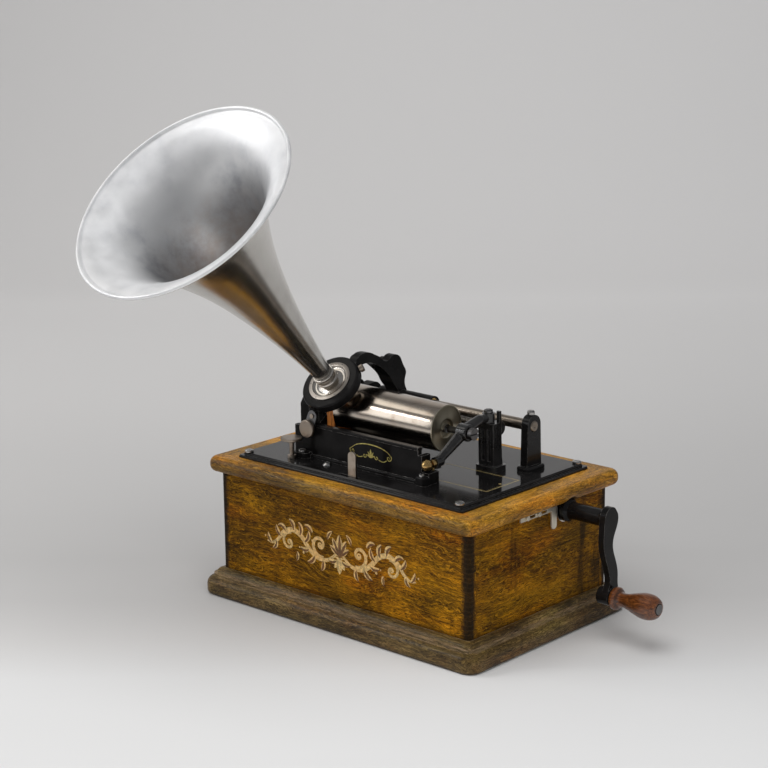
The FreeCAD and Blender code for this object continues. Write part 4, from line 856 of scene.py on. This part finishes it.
def reproducer():
    """Neck, dished face and flat pale ring, with a hinge notch, lugs and rivets."""
    neck = [(4.0, 17.0), (6.1, 17.0), (6.5, 16.6), (6.5, 2.6)]
    dish = [neck[-1], (7.0, 1.5), (8.6, 0.75), (11.0, -0.1), (13.2, -0.7), (15.0, -0.75),
            (16.2, -0.3), (17.0, 0.7)]
    ring_and_back = [(17.25, 1.3), (17.6, 1.42), (18.1, 1.3), (20.4, 1.3), (20.85, 0.95),
                     (20.85, -8.5), (18.2, -8.5), (18.2, -3.4), (4.0, -3.4), neck[0]]
    face = rounded(neck, radius=0.3, count=3)[:-1] + spline(dish, 5)
    zones = [0] * (len(face) + 1) + [1] * 3 + [0] * 5
    shell = lathe("reproducer_shell", face + ring_and_back, REPRODUCER, HORN_AXIS,
                  ["nickel_turned", "nickel_ring_pale"], segments=128, zones=zones)
    # notch in the skirt for the hinge of the floating weight
    for vert in shell.data.vertices:
        local = vert.co / MM - REPRODUCER
        depth = local.dot(HORN_AXIS)
        if depth < -8.0 and local.dot(FACE_UP) > 14.0 and abs(local.dot(X_AXIS)) < 3.6:
            vert.co += HORN_AXIS * ((-6.0 - depth) * MM)
    place(shell, "carriage", replaces="reproducer_body")
    lugs = part_of_node("weight_lugs", "reproducer_body",
                        lambda c: (c - REPRODUCER).dot(HORN_AXIS) < -8.62, "nickel_plain")
    place(lugs, "carriage")
    # six small rivets round the pale ring
    verts, faces = [], []
    circle_radius = 19.4
    for k in range(6):
        turn = math.radians(20 + 60 * k)
        centre = (REPRODUCER + HORN_AXIS * 1.28 + X_AXIS * (circle_radius * math.cos(turn))
                  + FACE_UP * (circle_radius * math.sin(turn)))
        add_dome(verts, faces, centre, HORN_AXIS, radius=0.62, height=0.28)
    rivets = mesh_object("reproducer_rivets", verts, faces, ["steel_blued"], angle=38)
    place(rivets, "carriage")


def horn_collar():
    """Plain band between two beads."""
    outside = [(6.56, 3.2), (9.3, 3.2), (9.6, 3.4), (10.15, 3.75), (10.4, 4.3), (10.4, 5.2),
               (10.15, 5.9), (9.9, 6.25), (9.75, 6.5), (9.75, 10.4), (9.9, 10.7),
               (10.35, 11.0), (10.6, 11.6), (10.6, 12.6), (10.3, 13.3), (9.8, 13.6),
               (8.95, 13.6)]
    bore = [(8.95, 7.5), (6.56, 7.5), (6.56, 3.2)]
    ob = lathe("horn_socket", rounded(outside, radius=0.25, count=3) + bore, REPRODUCER,
               HORN_AXIS, ["nickel_turned"], segments=96)
    place(ob, "collar", replaces="horn_collar")


def horn():
    """Spun cone with a bell and a rolled rim."""
    # (distance along the axis, outside radius)
    stations = [(7.6, 8.6), (12, 8.6), (16.5, 8.95), (30, 10.3), (53, 13.3), (78, 17.3),
                (104, 22.0), (132, 28.2), (155, 34.3), (176, 41.3), (200, 51.2),
                (222, 63.0), (238, 75.8), (248, 89.6), (252.4, 100.9)]
    outer = [(radius, along) for along, radius in spline(stations, 8)]
    # the wall is thicker at the small end
    inner = [(radius - (1.0 if along > 20 else 1.35), along + 0.1 if along > 9 else along)
             for radius, along in outer]
    mouth_along, mouth_radius = stations[-1]
    bead = 1.7
    roll = [(mouth_radius + 0.6 + bead * math.cos(turn), mouth_along + 0.8 + bead * math.sin(turn))
            for turn in (math.radians(degrees) for degrees in range(-70, 171, 15))]
    profile = outer[:-1] + roll + inner[-2::-1] + outer[:1]
    # the outside finish ends part of the way round the rim
    outside = len(outer) + 2
    zones = [0] * outside + [1] * (len(profile) - 1 - outside)
    ob = lathe("horn_bell", profile, REPRODUCER, HORN_AXIS, ["horn_outside", "horn_inside"],
               segments=200, zones=zones, angle=60)
    place(ob, "horn_body", replaces="horn")


def lift_knob():
    profile = [(0, -64.8), (7.2, -64.8), (7.9, -64.65), (8.3, -64.3), (8.4, -63.8),
               (8.4, -62.0), (8.1, -61.55), (7.6, -61.4), (0, -61.4)]
    ob = lathe("lift_knob", profile, LIFT_KNOB, (0, 1, 0), ["nickel_knob"], segments=64)
    place(ob, "lifter", replaces="lift_lever_knob")


def crank_handle():
    """Flange, neck and pear, hollow at the outer end."""
    outside = [(2.6, 200.0), (6.2, 200.0), (8.6, 200.5), (9.9, 201.8), (10.2, 203.3),
               (9.9, 204.9), (8.6, 206.5), (7.0, 207.5), (6.4, 208.7), (6.25, 210.3),
               (6.4, 212.6), (6.9, 215.5), (7.8, 218.8), (8.9, 222.2), (10.1, 226.2),
               (11.1, 230.4), (11.5, 234.2), (11.4, 237.6), (10.7, 241.2), (9.4, 244.2),
               (7.8, 246.2), (6.3, 247.0), (5.3, 247.2)]
    recess = [(5.2, 245.6), (2.6, 245.6)]
    ob = lathe("crank_grip", spline(outside, 4) + recess, CRANK_HANDLE, X_AXIS,
               ["handle_wood"], segments=96)
    place(ob, "handle", replaces="crank_handle")


for build in (mandrel, back_rod, feed_screw, reproducer, horn_collar, horn, lift_knob,
              crank_handle):
    build()


# ----------------------------------------------------------------------------
# gilding, thin leaf over the finish. A stroke is (points, widths) in mm
# ----------------------------------------------------------------------------
def foil(strokes, surface, lift, layers=1, raised=0.0):
    """Vertices and faces of flat strokes on surface(u, v, height). Neighbouring strokes
    sit on different layers so that they don't fight where they cross."""
    layer_step = 0.002
    verts, faces = [], []
    for k, (points, widths) in enumerate(strokes):
        level = layer_step * (k % layers) + raised
        base = len(verts)
        for i, width in enumerate(widths):
            before = Vector(points[max(i - 1, 0)])
            after = Vector(points[min(i + 1, len(points) - 1)])
            heading = (after - before).normalized()
            across = Vector((-heading.y, heading.x)) * (width / 2)
            # the top is narrower than the foot
            for part, height in ((1, 0.0), (0.8, lift), (-0.8, lift), (-1, 0.0)):
                verts.append(surface(*(Vector(points[i]) + across * part), height + level))
        for i in range(len(points) - 1):
            for j in range(3):
                a = base + i * 4 + j
                faces.append((a, a + 1, a + 5, a + 4))
    return verts, faces


def circle(centre, radius, count):
    return [(centre[0] + radius * math.cos(turn), centre[1] + radius * math.sin(turn))
            for turn in (2 * math.pi * k / count for k in range(count + 1))]


def spiral(centre, start, end, heading, turns, count):
    """Spiral from radius start to end, beginning at a heading in degrees."""
    out = []
    for i in range(count + 1):
        t = i / count
        radius = start * (end / start) ** t
        turn = math.radians(heading) + turns * 2 * math.pi * t
        out.append((centre[0] + radius * math.cos(turn), centre[1] + radius * math.sin(turn)))
    return out


def taper(width, loss, count):
    return [width - loss * i / count for i in range(count + 1)]


def leaf(base, heading, length, width, curl=0.0, count=18):
    """A stroke that swells and closes, turning by curl radians on its way."""
    points, widths = [], []
    angle = math.radians(heading)
    x, y = base
    for i in range(count + 1):
        points.append((x, y))
        swell = math.sin(math.pi * min(i / count * 0.92 + 0.08, 1.0)) ** 0.8
        widths.append(max(width * swell, 0.12))
        x += math.cos(angle) * length / count
        y += math.sin(angle) * length / count
        angle += curl / count
    return points, widths


def mirrored(points):
    return [(-x, y) for x, y in points]


def add_pair(strokes, points, widths):
    strokes.append((points, widths))
    strokes.append((mirrored(points), widths))


def shade(points, widths, shift, narrow):
    """A narrower copy of a stroke, shifted."""
    return [(x + shift[0], y + shift[1]) for x, y in points], [w * narrow for w in widths]


SCROLL_STEM = [(4, -2), (14, -9.5), (27, -10), (38, -3), (47, 6), (58, 9.5), (69, 5),
               (76, -3), (83, -7.5), (90, -7)]
# base x, base y, heading in degrees, length, width, curl in radians
SCROLL_LEAVES = [
    (12, -9, 200, 9, 2.8, -1.2), (20, -11, 250, 10, 3.2, 1.3), (30, -9, 285, 11, 3.4, 1.4),
    (37, -4, 320, 10, 3.0, 1.5), (42, 2, 150, 11, 3.2, -1.4), (48, 7, 120, 11, 3.4, -1.5),
    (56, 10, 95, 10, 3.2, -1.4), (66, 7, 60, 10, 3.0, -1.5), (72, 1.5, 20, 10, 3.0, 1.4),
    (78, -5, 265, 9, 2.8, 1.5), (84, -7.5, 30, 9, 2.6, 1.2), (33, 12, 60, 10, 3.0, -1.2),
    (14, 10, 100, 9, 2.6, 0.9), (52, -10, 250, 8, 2.4, 1.0)]
LEAF_LENGTHEN, LEAF_WIDEN = 1.15, 1.55
# heading in degrees, length, width
PALMETTE_UP = [(90, 20, 8.0), (62, 17.5, 6.6), (118, 17.5, 6.6), (36, 14, 5.4), (144, 14, 5.4)]
PALMETTE_DOWN = [(270, 14, 6.8), (236, 11, 5.2), (304, 11, 5.2)]
# x, y, diameter
SCROLL_BEADS = [(44, -9, 1.3), (49, -5, 0.9), (33, 4.5, 1.1), (72, 10.5, 1.0),
                (92.5, -3, 1.0), (10, 4, 0.9)]


def scroll_strokes():
    """A symmetrical acanthus scroll about a middle palmette, and its shading."""
    strokes, shades = [], []
    # main stems, from the palmette outwards
    stem = spline(SCROLL_STEM, 8)
    add_pair(strokes, stem, [4.2 * math.sin(math.pi * (0.12 + 0.86 * i / len(stem))) + 0.7
                             for i in range(len(stem))])
    inner_eye, outer_eye = (23.5, 2.6), (62.0, -3.2)
    add_pair(strokes, spiral(inner_eye, start=12.4, end=1.6, heading=-110, turns=1.45, count=60),
             taper(3.9, loss=2.1, count=60))
    add_pair(strokes, spiral(outer_eye, start=10.4, end=1.3, heading=105, turns=-1.40, count=60),
             taper(3.4, loss=1.9, count=60))
    add_pair(strokes, circle(inner_eye, radius=1.5, count=16), [1.5] * 17)
    add_pair(strokes, circle(outer_eye, radius=1.2, count=16), [1.3] * 17)
    for x, y, heading, length, width, curl in SCROLL_LEAVES:
        points, widths = leaf((x, y), heading, length * LEAF_LENGTHEN, width * LEAF_WIDEN, curl)
        add_pair(strokes, points, widths)
        add_pair(shades, *shade(points, widths, shift=(0.5, -0.75), narrow=0.5))
    for heading, length, width in PALMETTE_UP:
        points, widths = leaf((0, -3), heading, length, width)
        strokes.append((points, widths))
        shades.append(shade(points, widths, shift=(0.55, -0.7), narrow=0.45))
    for heading, length, width in PALMETTE_DOWN:
        strokes.append(leaf((0, -6), heading, length, width))
    # band across the waist of the palmette
    strokes.append(([(-5.5, -4.6), (0, -5.6), (5.5, -4.6)], [1.4, 2.2, 1.4]))
    for x, y, diameter in SCROLL_BEADS:
        add_pair(strokes, circle((x, y), diameter * 0.5, count=10), [diameter] * 11)
    return strokes, shades


def front_scroll():
    middle_x, middle_z = -2.0, 70.5

    def on_board(u, v, height):
        return (middle_x + u, BOARD_FRONT_Y - 0.015 - height, middle_z + v)

    strokes, shades = scroll_strokes()
    verts, faces = foil(shades, on_board, lift=0.02, layers=9, raised=0.05)
    place(mesh_object("front_scroll_shade", verts, faces, ["gilding_shade"]), "machine")
    verts, faces = foil(strokes, on_board, lift=0.05, layers=9)
    place(mesh_object("front_scroll", verts, faces, ["gilding_scroll"]), "machine")


def casting_flourish():
    """An arched line over small spirals and five leaves, on the casting's front wall."""
    middle_x, middle_z = 3.0, 157.0

    def on_wall(u, v, height):
        return (u, CASTING_FRONT_Y - 0.012 - height, v)

    arch = spline([(-24, -1.5), (-17, 3.0), (-8, 5.2), (2, 5.6), (12, 4.6), (20, 2.0),
                   (24.5, -1.6)], 8)
    strokes = [(arch, [0.35 + 0.6 * math.sin(math.pi * i / (len(arch) - 1))
                       for i in range(len(arch))])]
    one_side = [
        (spiral((21.6, -3.2), start=3.6, end=0.6, heading=40, turns=-1.3, count=40),
         taper(0.75, loss=0.4, count=40)),
        (spiral((7.2, -5.2), start=2.6, end=0.5, heading=150, turns=1.2, count=30),
         taper(0.8, loss=0.4, count=30)),
        (spline([(9.6, -6.6), (13.0, -7.6), (16.5, -7.2), (19.2, -5.6)], 5), [0.7] * 16)]
    strokes += [(mirrored(points), widths) for points, widths in one_side] + one_side
    # heading in degrees, length, width
    for heading, length, width in ((90, 8.0, 2.2), (58, 6.4, 1.7), (122, 6.4, 1.7),
                                   (28, 5.0, 1.3), (152, 5.0, 1.3)):
        strokes.append(leaf((0, -6.4), heading, length, width))
    placed = [([(middle_x + x, middle_z + y) for x, y in points], widths)
              for points, widths in strokes]
    verts, faces = foil(placed, on_wall, lift=0.04, layers=7)
    place(mesh_object("casting_flourish", verts, faces, ["gilding_line"]), "machine")


def rectangle_stroke(x0, y0, x1, y1, radius, width):
    """A closed line with rounded corners, cut into pieces of at most about 4 mm."""
    outline = []
    for x, y, start in ((x1 - radius, y1 - radius, 0), (x0 + radius, y1 - radius, 90),
                        (x0 + radius, y0 + radius, 180), (x1 - radius, y0 + radius, 270)):
        for k in range(9):
            turn = math.radians(start + 90 * k / 8)
            outline.append((x + radius * math.cos(turn), y + radius * math.sin(turn)))
    outline.append(outline[0])
    points = []
    for p, q in zip(outline, outline[1:]):
        pieces = max(int(math.hypot(q[0] - p[0], q[1] - p[1]) / 4), 1)
        points += [(p[0] + (q[0] - p[0]) * k / pieces, p[1] + (q[1] - p[1]) * k / pieces)
                   for k in range(pieces)]
    points.append(outline[0])
    return points, [width] * len(points)


def bedplate_lines():
    """Two pinstripes and a gilt dot on the bedplate, right of the casting."""
    def on_bed(u, v, height):
        return (u, v, BEDPLATE_TOP_Z + 0.012 + height)

    strokes = [rectangle_stroke(38.0, -39.0, 120.0, 6.0, radius=0.6, width=1.1),
               rectangle_stroke(39.8, -37.2, 118.2, 4.2, radius=0.4, width=0.30)]
    verts, faces = foil(strokes, on_bed, lift=0.02)
    add_dome(verts, faces, Vector((114.4, -13.5, BEDPLATE_TOP_Z + 0.01)), (0, 0, 1),
             radius=1.4, height=0.4)
    place(mesh_object("bedplate_lines", verts, faces, ["gilding_pinstripe"]), "machine")


front_scroll()
casting_flourish()
bedplate_lines()

# ----------------------------------------------------------------------------
# stage, light and camera, metres
# ----------------------------------------------------------------------------
CAMERA_AZIMUTH, CAMERA_RISE = math.radians(42.21), math.radians(13.90)
CAMERA_ROLL = math.radians(-0.59)
CAMERA_PLACE = (1.18500, -1.34186, 0.64973)
# level directions away from the camera and to its right
AWAY = Vector((-math.sin(CAMERA_AZIMUTH), math.cos(CAMERA_AZIMUTH), 0.0))
RIGHT = Vector((AWAY.y, -AWAY.x, 0.0))


def paper():
    """Grey paper with painted light: painted shade falling off in tone behind the machine, and
    painted light lifting towards the wall.
    """
    # (distance away from the camera in mm, tone of painted shade and light)
    tones = [(-340, 0.97), (-180, 0.93), (-90, 0.80), (10, 0.665), (130, 0.605), (260, 0.625),
             (490, 0.70), (770, 0.82), (1260, 1.0), (1390, 1.06)]
    grey = 0.675
    mat = Finish("studio_paper")
    cloud = mat.point.noise(0.004, detail=3, rough=0.5)
    distance = mat.point.dot(tuple(AWAY)).remap(-400.0, 1400.0)
    stops = []
    for along, tone in tones:
        # slightly warm beyond the front of the machine
        green, blue = (1.0, 1.0) if along < -100 else (0.985, 0.975)
        stops.append(((along + 400.0) / 1800.0,
                      (grey * tone, grey * tone * green, grey * tone * blue)))
    colour = distance.ramp(stops)
    # painted light: brighter towards the camera's right
    side = mat.point.dot(tuple(RIGHT)).remap(-900.0, 900.0)
    colour = colour.times(mat.mix(side, (0.95, 0.945, 0.94), (1.10, 1.10, 1.10)))
    mottle = mat.mix(cloud, (0.62, 0.62, 0.625), (0.69, 0.69, 0.69))
    mat.set("Base Color", colour.mix(0.06, mottle))
    mat.set("Roughness", 0.9)
    mat.set("Specular IOR Level", 0.2)


def studio_sweep():
    """Floor, quarter-round and wall in one sheet."""
    floor_start, floor_end, bend, half_width, columns = -3.2, 1.5, 0.9, 3.4, 12
    # (distance away from the camera, height)
    profile = [(floor_start + 4.7 * i / 20, 0.0) for i in range(21)]
    profile += [(floor_end + bend * math.sin(math.radians(angle)),
                 bend - bend * math.cos(math.radians(angle))) for angle in range(5, 91, 5)]
    profile += [(floor_end + bend, bend + 0.4 * i) for i in range(1, 8)]
    verts, faces = [], []
    for along, height in profile:
        for k in range(columns + 1):
            spot = AWAY * along + RIGHT * (-half_width + 2 * half_width * k / columns)
            verts.append((spot.x, spot.y, height))
    row = columns + 1
    for i in range(len(profile) - 1):
        for k in range(columns):
            a = i * row + k
            faces.append((a, a + 1, a + row + 1, a + row))
    mesh = bpy.data.meshes.new("studio_sweep")
    mesh.from_pydata(verts, [], faces)
    paper()
    mesh.materials.append(FINISHES["studio_paper"])
    for face in mesh.polygons:
        face.use_smooth = True
    link_object("studio_sweep", mesh)


def area(name, location, target, width, height, energy, color=(1, 1, 1), glossy=True):
    light = bpy.data.lights.new(name, "AREA")
    light.shape = "RECTANGLE"
    light.size = width
    light.size_y = height
    light.energy = energy
    light.color = color
    ob = bpy.data.objects.new(name, light)
    ob.location = location
    ob.rotation_euler = (Vector(target) - Vector(location)).to_track_quat("-Z", "Y").to_euler()
    ob.visible_glossy = glossy
    ob.visible_camera = False
    COLLECTION.objects.link(ob)


def lights():
    middle = (0, 0, 0.17)
    # broad diffuse light, kept out of the reflections
    area("broad_top", (0.20, -0.50, 1.70), (0.0, 0.0, 0.1), width=1.4, height=1.4,
         energy=21.0, glossy=False)
    area("broad_left", (-1.35, -0.95, 1.20), middle, width=0.8, height=0.8, energy=8.0,
         glossy=False)
    area("broad_right", (1.45, -0.75, 0.85), middle, width=0.7, height=0.7, energy=6.5,
         color=(1.0, 0.985, 0.96), glossy=False)
    # soft boxes that the bright metal reflects
    area("card_high", (-1.06, -0.38, 1.31), (0.0, -0.014, 0.178), width=0.90, height=0.36,
         energy=1.35, color=(1.0, 0.97, 0.90))
    area("card_low", (-1.44, -1.12, 0.68), (-0.02, -0.08, 0.25), width=1.25, height=0.72,
         energy=4.3)
    area("card_spark", (-0.95, -1.02, 1.02), middle, width=0.22, height=0.22, energy=2.0)
    area("wall_wash", AWAY * 0.9 + Vector((0, 0, 2.1)), AWAY * 2.4 + Vector((0, 0, 0.6)),
         width=2.2, height=0.6, energy=10.5, glossy=False)


def world():
    studio = bpy.data.worlds.new("studio")
    bpy.context.scene.world = studio
    studio.use_nodes = True
    background = studio.node_tree.nodes["Background"]
    background.inputs["Color"].default_value = (0.50, 0.51, 0.53, 1.0)
    background.inputs["Strength"].default_value = 0.43


def camera():
    data = bpy.data.cameras.new("camera")
    data.sensor_width = 36.0
    data.lens = 96.18
    data.clip_start = 0.05
    data.clip_end = 30.0
    ob = bpy.data.objects.new("camera", data)
    back = Vector((math.sin(CAMERA_AZIMUTH) * math.cos(CAMERA_RISE),
                   -math.cos(CAMERA_AZIMUTH) * math.cos(CAMERA_RISE), math.sin(CAMERA_RISE)))
    ahead = -back
    right = ahead.cross(Vector((0, 0, 1))).normalized()
    up = right.cross(ahead)
    rolled_right = right * math.cos(CAMERA_ROLL) + up * math.sin(CAMERA_ROLL)
    rolled_up = -right * math.sin(CAMERA_ROLL) + up * math.cos(CAMERA_ROLL)
    pose = Matrix.Identity(4)
    for i in range(3):
        pose[i][0], pose[i][1], pose[i][2] = rolled_right[i], rolled_up[i], back[i]
    pose.translation = Vector(CAMERA_PLACE)
    ob.matrix_world = pose
    COLLECTION.objects.link(ob)
    bpy.context.scene.camera = ob


studio_sweep()
lights()
world()
camera()

view = bpy.context.scene.view_settings
view.view_transform = "Standard"
view.look = "None"
view.exposure = 0.0
view.gamma = 1.0
